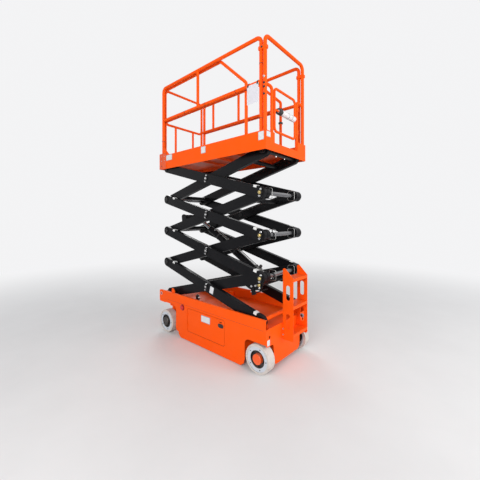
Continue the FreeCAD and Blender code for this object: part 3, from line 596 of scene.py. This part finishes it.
def tubePiece(name, points, radius, body, finish, smoothPath=True, steps=8, closed=False):
    # a hose, wire or pipe through points; smooth ones bend, others run straight with small corners
    data = bpy.data.curves.new(name, "CURVE")
    data.dimensions = "3D"
    data.bevel_depth = radius
    data.bevel_resolution = 3
    data.resolution_u = steps
    data.use_fill_caps = True
    spline = data.splines.new("NURBS" if smoothPath else "POLY")
    spline.points.add(len(points) - 1)
    for point, place in zip(spline.points, points):
        point.co = (*place, 1.0)
    if smoothPath:
        spline.order_u = 3
        spline.use_endpoint_u = True
    spline.use_cyclic_u = closed
    curve = bpy.data.objects.new(name, data)
    bpy.context.scene.collection.objects.link(curve)
    mesh = bpy.data.meshes.new_from_object(curve.evaluated_get(bpy.context.evaluated_depsgraph_get()))
    bpy.data.objects.remove(curve)
    mesh.name = name
    mesh.shade_smooth()
    return addToScene(name, mesh, body, finish)


# bolts and clips, made by geometry nodes on seats that carry the way each one points

def startSeatTree(name, settings):
    tree, given, result = newGroup(name, "GeometryNodeTree", (
        ("Geometry", "Geometry", None), *settings, ("Finish", "Material", None)),
        (("Geometry", "Geometry", None),))
    aim = addNode(tree, "GeometryNodeInputNamedAttribute", {"Name": "aim"}, data_type="FLOAT_VECTOR")
    return tree, given, result, aim.outputs["Attribute"]


def endSeatTree(tree, given, result, shapes, turn):
    join = addNode(tree, "GeometryNodeJoinGeometry")
    for shape in shapes:
        feed(join.inputs[0], shape)
    stamp = addNode(tree, "GeometryNodeInstanceOnPoints", {
        "Points": given["Geometry"], "Instance": join.outputs[0], "Rotation": turn})
    real = addNode(tree, "GeometryNodeRealizeInstances", {0: stamp.outputs[0]})
    paint = addNode(tree, "GeometryNodeSetMaterial", {"Geometry": real.outputs[0],
                                                      "Material": given["Finish"]})
    feed(result[0], paint.outputs[0])
    return tree


def makeBoltTree():
    look = {"taper": 0.88, "washerSides": 18, "washerThick": 0.0032}
    tree, given, result, aim = startSeatTree("boltsOnSeats", (
        ("Head Radius", "Float", 0.008), ("Head Height", "Float", 0.006), ("Washer Radius", "Float", 0.012),
        ("Sides", "Int", 6)))
    head = addNode(tree, "GeometryNodeMeshCone", {
        "Radius Bottom": given["Head Radius"], "Depth": given["Head Height"], "Vertices": given["Sides"],
        "Radius Top": calc(tree, "MULTIPLY", given["Head Radius"], look["taper"])})
    washer = addNode(tree, "GeometryNodeMeshCylinder", {
        "Vertices": look["washerSides"], "Depth": look["washerThick"], "Radius": given["Washer Radius"]})
    turn = addNode(tree, "FunctionNodeAlignRotationToVector", {"Vector": aim}, axis="Z")
    return endSeatTree(tree, given, result, (head.outputs["Mesh"], washer.outputs["Mesh"]), turn.outputs[0])


def makeClipTree():
    # a clip on a conduit: a short sleeve round it with its foot behind, lined up with the arm
    look = {"grip": 0.0018, "sides": 20, "width": 0.014, "foot": (0.030, 0.003, 0.014),
            "footBack": (0.0, 0.0068, 0.0)}
    tree, given, result, aim = startSeatTree("clipsOnSeats", (
        ("Pipe Radius", "Float", 0.007), ("Lean", "Float", 0.0)))
    band = addNode(tree, "GeometryNodeMeshCylinder", {
        "Vertices": look["sides"], "Depth": look["width"],
        "Radius": calc(tree, "ADD", given["Pipe Radius"], look["grip"])})
    foot = addNode(tree, "GeometryNodeMeshCube", {"Size": look["foot"]})
    back = addNode(tree, "GeometryNodeTransform", {"Geometry": foot.outputs["Mesh"],
                                                   "Translation": look["footBack"]})
    flip = addNode(tree, "VectorMath", {0: aim, 3: -1.0}, operation="SCALE")
    face = addNode(tree, "FunctionNodeAlignRotationToVector", {"Vector": flip.outputs[0]}, axis="Y")
    # then the sleeve's axis is laid along the arm
    cosine, sine = (calc(tree, way, given["Lean"]) for way in ("COSINE", "SINE"))
    run = addNode(tree, "CombineXYZ", {0: cosine, 2: calc(tree, "MULTIPLY", sine, -1.0)})
    lay = addNode(tree, "FunctionNodeAlignRotationToVector", {
        "Rotation": face.outputs[0], "Vector": run.outputs[0]}, axis="Z", pivot_axis="Y")
    return endSeatTree(tree, given, result, (band.outputs["Mesh"], back.outputs[0]), lay.outputs[0])


boltTree, clipTree = makeBoltTree(), makeClipTree()


def stampOnSeats(name, tree, seats, body, settings):
    # seats: (place, the way it points); the tree's result becomes a plain mesh
    mesh = bpy.data.meshes.new(name + "Seats")
    mesh.from_pydata([tuple(place) for place, _ in seats], [], [])
    aims = mesh.attributes.new("aim", "FLOAT_VECTOR", "POINT")
    for i, (_, way) in enumerate(seats):
        aims.data[i].vector = way
    carrier = bpy.data.objects.new(name + "Seats", mesh)
    bpy.context.scene.collection.objects.link(carrier)
    modifier = carrier.modifiers.new("stamp", "NODES")
    modifier.node_group = tree
    for item in tree.interface.items_tree:
        if item.in_out == "INPUT" and item.name in settings:
            modifier[item.identifier] = settings[item.name]
    made = bpy.data.meshes.new_from_object(carrier.evaluated_get(bpy.context.evaluated_depsgraph_get()))
    made.name = name
    bpy.data.objects.remove(carrier)
    return addToScene(name, made, body, None)


boltSizes = {
    "pin": {"Head Radius": 0.0085, "Head Height": 0.012, "Washer Radius": 0.012, "Sides": 6},
    "plate": {"Head Radius": 0.0075, "Head Height": 0.010, "Washer Radius": 0.011, "Sides": 6},
    "wheel": {"Head Radius": 0.0075, "Head Height": 0.014, "Washer Radius": 0.010, "Sides": 6},
    "small": {"Head Radius": 0.0045, "Head Height": 0.005, "Washer Radius": 0.006, "Sides": 12},
}


def boltPiece(name, seats, body, size, finish="zincBright"):
    return stampOnSeats(name, boltTree, seats, body, dict(boltSizes[size], Finish=finishes[finish]))


# scissor pins: keeper plates, their bolts, nuts and caps

pinLook = {"keeperHalf": 0.045, "keeperWidth": 0.028, "keeperThick": 0.003, "boltOut": 0.0355,
           "headOut": 0.008,
           "keeperCorner": 0.0135}
nutProfile = ((0, 0.0205), (0.009, 0.0205), (0.011, 0.0178), (0.011, 0.012), (0.016, 0.0115), (0.0175, 0.009),
              (0.0175, 0))
plugProfile = ((0, 0.0135), (0.003, 0.0135), (0.003, 0.0110), (0.006, 0.0105), (0.0072, 0.008),
               (0.0072, 0.0035),
               (0.005, 0.003), (0.005, 0))
headProfile = ((0, 0.0195), (0.002, 0.0195), (0.0035, 0.018), (0.0035, 0.013), (0.0015, 0.012), (0.0015, 0))


def dressPins():
    tilt = armTurn("outer")
    upArm = tilt @ Vector((0, 0, 1))
    for level in levels:
        body = f"outer_{level}"
        plates, nuts, plugs, heads = (bmesh.new() for _ in range(4))
        pale, dark = [], []
        ends = [("centre", centrePinX, pinHeight(level - 0.5)), ("front", frontPinX, pinHeight(level))]
        if level > 1:
            ends.append(("rear", rearPinX, pinHeight(level - 1)))
        for side in (-1, 1):
            way = (0, side, 0)
            for kind, x, z in ends:
                middle = Vector((x, side * lift["outerFace"], z))
                outline = roundedOutline(pinLook["keeperWidth"], 2 * pinLook["keeperHalf"],
                                         pinLook["keeperCorner"])
                addOutline(plates, outline, pinLook["keeperThick"], middle, tilt @ facingSide(side))
                for end in (-1, 1):
                    seat = middle + upArm * end * pinLook["boltOut"]
                    seat += Vector((0, side * pinLook["keeperThick"], 0))
                    (dark if kind == "front" else pale).append((seat, way))
                outer = middle + Vector((0, side * pinLook["headOut"], 0))
                if kind == "rear":
                    addTurned(nuts, nutProfile, outer, way, 6)
                elif kind == "centre":
                    addTurned(plugs, plugProfile, outer, way, 20)
                else:
                    addTurned(heads, headProfile, outer, way, 24)
        shapePiece(f"pin_keepers_{level}", plates, body, "armBlack")
        shapePiece(f"pin_plugs_{level}", plugs, body, "zincBright")
        shapePiece(f"pin_heads_{level}", heads, body, "darkSteel")
        if level > 1:
            shapePiece(f"pin_nuts_{level}", nuts, body, "zincYellow")
        else:
            nuts.free()
        boltPiece(f"pin_bolts_{level}", pale, body, "pin")
        boltPiece(f"pin_front_bolts_{level}", dark, body, "pin", "darkSteel")


dressPins()

# the cylinder's foot: nuts on the brace pin, bolts of the release valve
footLook = {"braceX": -0.7025, "braceZ": 0.878, "braceOut": 0.292, "plateOut": 0.284,
            "valveBolts": ((0.29, 0.846), (0.232, 0.862), (0.283, 0.790)),
            "coverBolts": ((-0.088, 2.2885), (0.088, 2.2885))}


def dressFoot():
    bm, seats = bmesh.new(), []
    for side in (-1, 1):
        addTurned(bm, nutProfile, Vector((footLook["braceX"], side * footLook["braceOut"],
                                          footLook["braceZ"])),
                  (0, side, 0), 6)
        seats.append((Vector((footLook["braceX"] + 0.004, side * footLook["plateOut"],
                              footLook["braceZ"] - 0.034)),
                      (0, side, 0)))
    for along, z in footLook["valveBolts"]:
        seats.append((spot(along, footLook["plateOut"], z), (0, 1, 0)))
    shapePiece("foot_nuts", bm, "inner_1", "zincYellow")
    boltPiece("foot_bolts", seats, "inner_1", "pin")
    ends = [(Vector((rearPinX, y, z)), (0, 0, -1)) for y, z in footLook["coverBolts"]]
    boltPiece("deck_pin_bolts", ends, "platform", "pin")


dressFoot()

# white glides near the ends of the outer arms, wrapped over the top edge

padLook = {"length": 0.042, "top": 0.0035, "skirt": 0.026, "wrap": 0.0045, "fromEnd": (0.082, 1.560)}


def dressArms():
    for level in levels:
        bm = bmesh.new()
        for side in (-1, 1):
            for along in padLook["fromEnd"]:
                if level == lift["levels"] and along > 1:
                    continue
                middle = lift["outerFace"] - lift["armThick"] / 2
                edge = lift["armHeight"] / 2
                top = armPlace("outer", level, along, edge + padLook["top"] / 2, side * middle)
                addBlock(bm, (padLook["length"], lift["armThick"] - 0.002, padLook["top"]), top,
                         armTurn("outer"),
                         0.001, 1)
                flank = armPlace("outer", level, along, edge + padLook["top"] - padLook["skirt"] / 2,
                                 side * (lift["outerFace"] + padLook["wrap"] / 2))
                addBlock(bm, (padLook["length"], padLook["wrap"], padLook["skirt"]), flank, armTurn("outer"),
                         0.0015, 2)
        shapePiece(f"rest_pads_{level}", bm, f"outer_{level}", "whitePad")


dressArms()

# wire hoops that guide the hoses round the rear shafts, one pair a shaft

hoopLook = {"width": 0.090, "height": 0.112, "corner": 0.020, "wire": 0.0032, "shaft": 0.022, "collar": 0.027,
            "places": {2: (0.155, -0.236), 3: (0.160, -0.236), 4: (0.225, -0.236)}}


def dressHoops():
    for level, places in hoopLook["places"].items():
        z = pinHeight(level - 1)
        collars = bmesh.new()
        for number, y in enumerate(places):
            outline = roundedOutline(hoopLook["width"], hoopLook["height"], hoopLook["corner"], 6)
            points = [(rearPinX + px, y, z + pz) for px, pz in outline]
            tubePiece(f"hose_hoop_{level}_{number + 1}", points, hoopLook["wire"], f"outer_{level}",
                      "zincDull",
                      smoothPath=False, closed=True)
            addRing(collars, hoopLook["shaft"] + 0.0002, hoopLook["collar"], 0.016,
                    Vector((rearPinX, y - 0.008, z)),
                    (0, 1, 0))
            for up in (-1, 1):
                reach = hoopLook["height"] / 2 - hoopLook["collar"] + 0.001
                middle = Vector((rearPinX, y, z + up * (hoopLook["collar"] - 0.001 + reach / 2)))
                addBlock(collars, (0.010, 0.005, reach), middle, None, 0.0012, 1)
        shapePiece(f"hoop_collars_{level}", collars, f"outer_{level}", "armBlack")


dressHoops()

# black conduit clipped along the inner arms' inner faces

loomLook = {"up": 0.040, "across": 0.2635, "radius": 0.007, "from": 0.17, "fromLowest": 0.30,
            "to": 1.52, "shorter": {3: 1.30, 4: 1.08}, "clipEvery": 0.17}


def dressLooms():
    for level in levels:
        finish = loomLook["shorter"].get(level, loomLook["to"])
        first = loomLook["fromLowest"] if level == 1 else loomLook["from"]
        seats = []
        for side in (-1, 1):
            y = side * loomLook["across"]
            run = [armPlace("inner", level, along, loomLook["up"], y) for along in (first, finish)]
            tubePiece(f"arm_conduit_{level}_{'left' if side > 0 else 'right'}", run, loomLook["radius"],
                      f"inner_{level}", "blackRubber", smoothPath=False)
            count = int((finish - first) / loomLook["clipEvery"])
            for i in range(count):
                along = first + (i + 0.5) * (finish - first) / count
                seats.append((armPlace("inner", level, along, loomLook["up"], y), (0, -side, 0)))
        stampOnSeats(f"conduit_clips_{level}", clipTree, seats, f"inner_{level}",
                     {"Pipe Radius": loomLook["radius"], "Lean": restLean, "Finish": finishes["darkSteel"]})


dressLooms()

# pipes, clamps and fittings along the lift cylinder

pipeLook = {"base": (-0.596, 0.0, 0.853), "axis": (0.852627, 0.0, 0.52252), "up": (-0.52252, 0.0, 0.852627),
            "away": 0.060, "spread": 0.016, "radius": 0.0055, "from": 0.105, "to": 1.045, "bend": 0.045,
            "straps": (0.22, 0.58, 0.94), "strapRadius": 0.0445, "barrel": 0.042,
            "strapBlocks": (((0.022, 0.052, 0.014), -0.012, 0.002, 2),
                            ((0.020, 0.050, 0.005), 0.0078, 0.0015, 1))}


def onCylinder(along, away, y):
    base, axis, up = (Vector(pipeLook[key]) for key in ("base", "axis", "up"))
    return base + axis * along + up * away + Vector((0, y, 0))


def dressCylinder():
    look, fittings, straps = pipeLook, bmesh.new(), bmesh.new()
    axis, up = Vector(look["axis"]), Vector(look["up"])
    for side in (-1, 1):
        y = side * look["spread"]
        run = ((look["from"], look["barrel"] - 0.004), (look["from"], look["away"] - 0.008),
               (look["from"] + 0.008, look["away"]), (look["from"] + look["bend"], look["away"]),
               (look["to"] - look["bend"], look["away"]), (look["to"] - 0.008, look["away"]),
               (look["to"], look["away"] - 0.008), (look["to"], look["barrel"] - 0.002))
        tubePiece(f"cylinder_pipe_{'left' if side > 0 else 'right'}",
                  [onCylinder(along, away, y) for along, away in run], look["radius"], "lift_barrel",
                  "zincDull")
        for along in (look["from"], look["to"]):
            addTurned(fittings, ((0, 0.0115), (0.012, 0.0115), (0.0135, 0.010), (0.0135, 0.007),
                                 (0.017, 0.0065),
                                 (0.017, 0)), onCylinder(along, look["barrel"] - 0.003, y), up, 6)
    for along in look["straps"]:
        addRing(straps, look["barrel"] + 0.0001, look["strapRadius"], 0.022,
                onCylinder(along, 0, 0) - axis * 0.011, axis)
        for size, out, ease, segments in look["strapBlocks"]:
            addBlock(straps, size, onCylinder(along, look["away"] + out, 0), cylinderTurn(), ease, segments)
    shapePiece("cylinder_fittings", fittings, "lift_barrel", "zincBright")
    shapePiece("pipe_straps", straps, "lift_barrel", "darkSteel")
    caps = [(onCylinder(along, look["away"] + 0.0103, 0), tuple(up)) for along in look["straps"]]
    boltPiece("strap_bolts", caps, "lift_barrel", "small")
    # valve block with its coil beside the base
    block, coil = bmesh.new(), bmesh.new()
    addBlock(block, (0.058, 0.040, 0.034), onCylinder(0.165, 0.058, 0.0), cylinderTurn(), 0.003, 2)
    addTurned(coil, ((0, 0.017), (0.004, 0.019), (0.030, 0.019), (0.034, 0.017), (0.034, 0.009),
                     (0.040, 0.008),
                     (0.041, 0.006), (0.041, 0)), onCylinder(0.165, 0.074, 0.0), up, 24)
    shapePiece("valve_block", block, "lift_barrel", "zincDull")
    shapePiece("valve_coil", coil, "lift_barrel", "blackPlastic")


def cylinderTurn():
    axis, up = Vector(pipeLook["axis"]), Vector(pipeLook["up"])
    across = up.cross(axis)
    return Matrix((axis, across, up)).transposed().to_4x4()


dressCylinder()
print("scissor stack dressed")

# plates, labels and stickers, all blank

signs = (
    {"name": "door_label", "body": "door_left", "place": at(0.901, 0.004, 0.362), "size": (0.162, 0.082),
     "turn": facingSide(1), "band": 0.006},
    {"name": "toe_plate_front", "body": "platform", "place": at(1.654, 0.0, 2.445), "size": (0.140, 0.078),
     "turn": facingSide(1), "band": 0.005},
    {"name": "toe_plate_middle", "body": "platform", "place": at(0.938, 0.0, 2.435), "size": (0.085, 0.085),
     "turn": facingSide(1), "band": 0.005},
    {"name": "toe_plate_rear", "body": "platform", "place": at(0.058, 0.0, 2.436), "size": (0.072, 0.087),
     "turn": facingSide(1), "band": 0.004},
    {"name": "rear_plate", "body": "platform", "place": at(0.0, 0.048, 2.452), "size": (0.070, 0.056),
     "turn": facingRear, "band": 0.004},
    {"name": "rear_sticker", "body": "chassis", "place": at(0.0, 0.048, 0.333), "size": (0.045, 0.058),
     "turn": facingRear, "band": 0.0},
    {"name": "arm_sticker", "body": "outer_1", "place": spot(0.826, lift["outerFace"], 0.727),
     "size": (0.066, 0.086), "turn": armTurn("outer") @ facingSide(1), "band": 0.003},
)


def hangSigns():
    for sign in signs:
        width, height = sign["size"]
        turn, place = sign["turn"], sign["place"]
        out = (turn @ Vector((0, 0, 1))).normalized()
        bm = bmesh.new()
        addOutline(bm, roundedOutline(width, height, 0.004), 0.0009, place, turn)
        shapePiece(sign["name"] + "_back", bm, sign["body"],
                   "signGrey" if sign["band"] else "signWhite")
        if sign["band"]:
            bm = bmesh.new()
            inner = roundedOutline(width - 2 * sign["band"], height - 2 * sign["band"], 0.002)
            addOutline(bm, inner, 0.0005, place + out * 0.0009, turn)
            shapePiece(sign["name"], bm, sign["body"], "signWhite")


hangSigns()

# left side of the chassis: stop button, latches, grommets, bolts

sideLook = {"face": 0.412, "recessFace": 0.409, "stop": (1.355, 0.415), "latch": (0.641, 0.353),
            "lug": (1.840, 0.520), "lugHole": 0.016, "stripBolts": (0.405, 0.342), "jointZ": 0.4580,
            "joints": ((0.030, 0.160), (0.176, 0.400), (0.414, 0.640), (0.654, 0.980), (0.994, 1.350),
                       (1.364, 1.700))}


def dressChassis():
    stopRing, stopCap = bmesh.new(), bmesh.new()
    along, z = sideLook["stop"]
    seat = spot(along, sideLook["face"], z)
    addTurned(stopRing, ((0, 0.040), (0.003, 0.040), (0.004, 0.038), (0.004, 0.017), (0.006, 0.0165),
                         (0.006, 0)),
              seat, (0, 1, 0), 40)
    addTurned(stopCap, ((0.0045, 0.014), (0.007, 0.015), (0.008, 0.031), (0.012, 0.0325), (0.0155, 0.030),
                        (0.0178, 0.022), (0.0186, 0.011), (0.0188, 0)), seat, (0, 1, 0), 40)
    shapePiece("stop_ring", stopRing, "chassis", "stopDark")
    shapePiece("stop_button", stopCap, "chassis", "stopRed", smooth=True)
    for side, name in ((1, "left"), (-1, "right")):
        along, z = sideLook["latch"]
        bm, slot = bmesh.new(), bmesh.new()
        seat = spot(along, side * sideLook["recessFace"], z)
        plate = roundedOutline(0.088, 0.046, 0.0225, 8)
        addOutline(bm, plate, 0.0032, seat + Vector((0, side * 0.0015, 0)), facingSide(side))
        addBlock(slot, (0.052, 0.0035, 0.013), seat + Vector((0, side * 0.0056, -0.002)), None, 0.0015, 2)
        shapePiece(f"door_latch_{name}", bm, f"door_{name}", "blackPlastic")
        shapePiece(f"latch_grip_{name}", slot, f"door_{name}", "darkSteel")
        along, z = sideLook["lug"]
        bm = bmesh.new()
        seat = spot(along, side * lift["leftSide"], z)
        addRing(bm, sideLook["lugHole"] + 0.0003, sideLook["lugHole"] + 0.0075, 0.0022, seat, (0, side, 0))
        shapePiece(f"lug_ring_{name}", bm, "chassis", "zincBright")
    # dark strip of painted shadow along the joint under each side rail's step, broken where the stitch welds
    # are
    bm = bmesh.new()
    for side in (-1, 1):
        for start, finish in sideLook["joints"]:
            middle = at((start + finish) / 2, 0, sideLook["jointZ"])
            middle.y = side * (sideLook["face"] + 0.0006)
            addBlock(bm, (finish - start, 0.0026, 0.0042), middle, None, 0.0008, 1)
    shapePiece("rail_shadow_lines", bm, "chassis", "seamShadowBrown")
    seats = []
    for z in sideLook["stripBolts"]:
        for y in (0.112, -0.217):
            seats.append((spot(-0.011, y, z), (-1, 0, 0)))
    boltPiece("ladder_bolts", seats, "chassis", "plate")
    # charging socket behind the far ladder plate's lower slot
    socket, core = bmesh.new(), bmesh.new()
    seat = spot(-0.070, -0.204, 0.478)
    addTurned(socket, ((0, 0.024), (0.004, 0.024), (0.005, 0.022), (0.005, 0.017), (0.012, 0.0165),
                       (0.012, 0)),
              seat, (0, 1, 0), 28)
    addTurned(core, ((0.012, 0.0125), (0.0125, 0.0125), (0.0125, 0)), seat, (0, 1, 0), 24)
    shapePiece("charge_socket", socket, "chassis", "signGrey")
    shapePiece("charge_socket_core", core, "chassis", "blackPlastic")
    # tilt sensor on the tray ahead of the pins, with a bright cable gland towards the rear
    bm, stub = bmesh.new(), bmesh.new()
    seat = at(1.400, 0.300, 0.443)
    addTurned(bm, ((0, 0.030), (0.006, 0.030), (0.007, 0.024), (0.062, 0.024), (0.066, 0.021), (0.066, 0.010),
                   (0.074, 0.009), (0.074, 0)), seat, (0, 0, 1), 28)
    addTurned(stub, ((0, 0.0155), (0.014, 0.0155), (0.015, 0.0125), (0.030, 0.012), (0.033, 0.010),
                     (0.033, 0)),
              seat + Vector((-0.022, 0, 0.034)), (-1, 0, 0), 6)
    shapePiece("sensor_body", bm, "chassis", "blackPlastic")
    shapePiece("sensor_stub", stub, "chassis", "zincBright")


dressChassis()

# wheel bolts

wheelLook = {"hubFace": 0.393, "hubRing": 0.071, "rimFace": 0.417,
             "rimRing": 0.108, "rearBolts": 6, "frontBolts": 10, "rimBolts": 5}


def dressWheels():
    for end in ("rear", "front"):
        for side, name in ((1, "left"), (-1, "right")):
            middle = spot(lift[end + "Axle"], 0, lift["axleHeight"])
            body = f"wheel_{end}_{name}"
            for label, face, ring, count, size in (
                    ("hub", "hubFace", "hubRing", wheelLook[end + "Bolts"], "wheel"),
                    ("rim", "rimFace", "rimRing", wheelLook["rimBolts"], "small")):
                seats = []
                for i in range(count):
                    turn = 2 * math.pi * (i + 0.5) / count
                    away = wheelLook[ring] * Vector((math.cos(turn), 0, math.sin(turn)))
                    seats.append((middle + away + Vector((0, side * wheelLook[face], 0)), (0, side, 0)))
                boltPiece(f"{label}_bolts_{end}_{name}", seats, body, size, "darkSteel")


dressWheels()
print("chassis and wheels dressed")

# deck: wing bolts, card, latches, clamps and ties

deckLook = {"wingFace": 0.4193, "wingBolts": ((1.83, 2.477), (1.76, 2.477), (1.83, 2.415), (1.76, 2.415)),
            "wingHole": (1.83, 2.342), "post": 0.3888, "postRadius": 0.020, "midRail": 3.0,
            "railTies": (0.42, 0.93, 1.32),
            "postTies": ((0.076, 1, 2.62), (0.076, 1, 3.18), (1.826, 1, 2.70), (0.076, -1, 2.66)),
            "clamp": (0.051, 3.335), "clampSize": (0.100, 0.046, 0.040), "knobOut": 0.023,
            "archAlong": 0.0262, "archSunk": 0.0015, "archPale": 3.031,
            "archBolts": {1: (2.967, 2.926, 2.855), -1: (2.967, 2.869)}, "braceAlong": 0.312,
            "latches": (((0.046, 0.044, 0.050), -0.345, 2.975, 0.005),
                        ((0.044, 0.042, 0.026), -0.345, 2.814, 0.004),
                        ((0.046, 0.044, 0.030), 0.345, 3.004, 0.004))}
knobProfile = ((0, 0.006), (0.002, 0.006), (0.003, 0.0095), (0.006, 0.0105), (0.009, 0.0095), (0.0105, 0.006),
               (0.0105, 0))
cardLook = {"from": 0.094, "to": 0.246, "low": 2.790, "high": 2.992, "face": 0.4112, "thick": 0.0012,
            "bow": 0.004, "tieIn": 0.014, "tieRadius": 0.0228, "tieWidth": 0.012}


def addTie(bm, place, axis, radius, width=0.0045):
    # a cable tie: a band round a tube with its square lock
    way = Vector(axis).normalized()
    addRing(bm, radius + 0.0001, radius + 0.0016, width, place - way * width / 2, axis, 28)
    out = Vector((0, math.copysign(1, place.y), 0))
    addBlock(bm, (0.007, 0.006, 0.009), place + out * (radius + 0.003), None, 0.001, 1)


def dressDeck():
    seats, holes = [], bmesh.new()
    for side in (-1, 1):
        for along, z in deckLook["wingBolts"]:
            seats.append((spot(along, side * deckLook["wingFace"], z), (0, side, 0)))
        along, z = deckLook["wingHole"]
        addTurned(holes, ((0, 0.008), (0.0012, 0.008), (0.0012, 0)),
                  spot(along, side * deckLook["wingFace"], z), (0, side, 0), 24)
    boltPiece("wing_bolts", seats, "extension", "small")
    shapePiece("wing_plugs", holes, "extension", "blackPlastic")
    # laminated card tied to the near mid rail, slightly bowed
    bm = bmesh.new()
    columns, rows = 10, 12
    grid = []
    for i in range(columns + 1):
        u = i / columns
        column = []
        for j in range(rows + 1):
            v = j / rows
            along = cardLook["from"] + (cardLook["to"] - cardLook["from"]) * u
            y = cardLook["face"] + cardLook["bow"] * (1 - v) * (0.4 + 0.6 * math.sin(math.pi * u))
            z = cardLook["low"] + (cardLook["high"] - cardLook["low"]) * v
            column.append(bm.verts.new((lift["rearEnd"] + along, y, z)))
        grid.append(column)
    for i in range(columns):
        for j in range(rows):
            bm.faces.new((grid[i][j], grid[i + 1][j], grid[i + 1][j + 1], grid[i][j + 1]))
    bmesh.ops.solidify(bm, geom=bm.faces[:], thickness=cardLook["thick"])
    shapePiece("rail_card", bm, "platform", "cardPaper")
    ties = bmesh.new()
    for along in (cardLook["from"] + cardLook["tieIn"], cardLook["to"] - cardLook["tieIn"]):
        addTie(ties, spot(along, deckLook["post"], deckLook["midRail"]), (1, 0, 0), cardLook["tieRadius"],
               cardLook["tieWidth"])
        addBlock(ties, (0.016, 0.004, 0.018), spot(along, cardLook["face"] + 0.004, 2.986), None, 0.001, 1)
    for along, side, z in deckLook["postTies"]:
        addTie(ties, spot(along, side * deckLook["post"], z), (0, 0, 1), deckLook["postRadius"])
    for along in deckLook["railTies"]:
        addTie(ties, spot(along, deckLook["post"], deckLook["midRail"]), (1, 0, 0), deckLook["postRadius"])
    shapePiece("rail_ties", ties, "platform", "blackPlastic")
    # clamps between the side rails' rear posts and the rear arch
    clamps, knobs, bolts, pale = bmesh.new(), bmesh.new(), [], []
    along, z = deckLook["clamp"]
    for side in (-1, 1):
        way, face = (0, side, 0), side * (deckLook["post"] + deckLook["postRadius"] - deckLook["archSunk"])
        addBlock(clamps, deckLook["clampSize"], spot(along, side * deckLook["post"], z), None, 0.006, 3)
        knobPlace = spot(along, side * (deckLook["post"] + deckLook["knobOut"]), z)
        addTurned(knobs, knobProfile, knobPlace, way, 16)
        pale.append((spot(deckLook["archAlong"], face, deckLook["archPale"]), way))
        for height in deckLook["archBolts"][side]:
            bolts.append((spot(deckLook["archAlong"], face, height), way))
    shapePiece("arch_clamps", clamps, "platform", "orangeCoat")
    shapePiece("clamp_knobs", knobs, "platform", "blackPlastic")
    boltPiece("arch_bolts", bolts, "platform", "pin", "darkSteel")
    boltPiece("arch_pale_bolts", pale, "platform", "pin")
    # black latches on the extension's brace posts
    bm = bmesh.new()
    for size, y, z, ease in deckLook["latches"]:
        addBlock(bm, size, spot(deckLook["braceAlong"], y, z), None, ease)
    shapePiece("brace_latches", bm, "extension", "blackPlastic")


dressDeck()

# gate sleeve: end cuff and the bands round it

sleeveLook = {"cuff": 0.058, "bands": (-0.112, -0.045)}


def dressGate():
    low, high = (Vector(corner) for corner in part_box("gate_sleeve"))
    middle = (low + high) / 2
    radius = (high.z - low.z) / 2
    cuff, bands = bmesh.new(), bmesh.new()
    addRing(cuff, radius * 0.55, radius + 0.0022, sleeveLook["cuff"],
            Vector((middle.x, high.y - sleeveLook["cuff"] + 0.004, middle.z)), (0, 1, 0), 36)
    for y in sleeveLook["bands"]:
        addRing(bands, radius * 0.9, radius + 0.0012, 0.005, Vector((middle.x, y, middle.z)), (0, 1, 0), 36)
    shapePiece("sleeve_cuff", cuff, "gate", "blackRubber")
    shapePiece("sleeve_bands", bands, "gate", "blackPlastic")


dressGate()
print("deck dressed")
bpy.context.scene.view_settings.view_transform = "Standard"
makeStage()
makeLights()
makeCamera()
print("stage, lamps and camera placed")
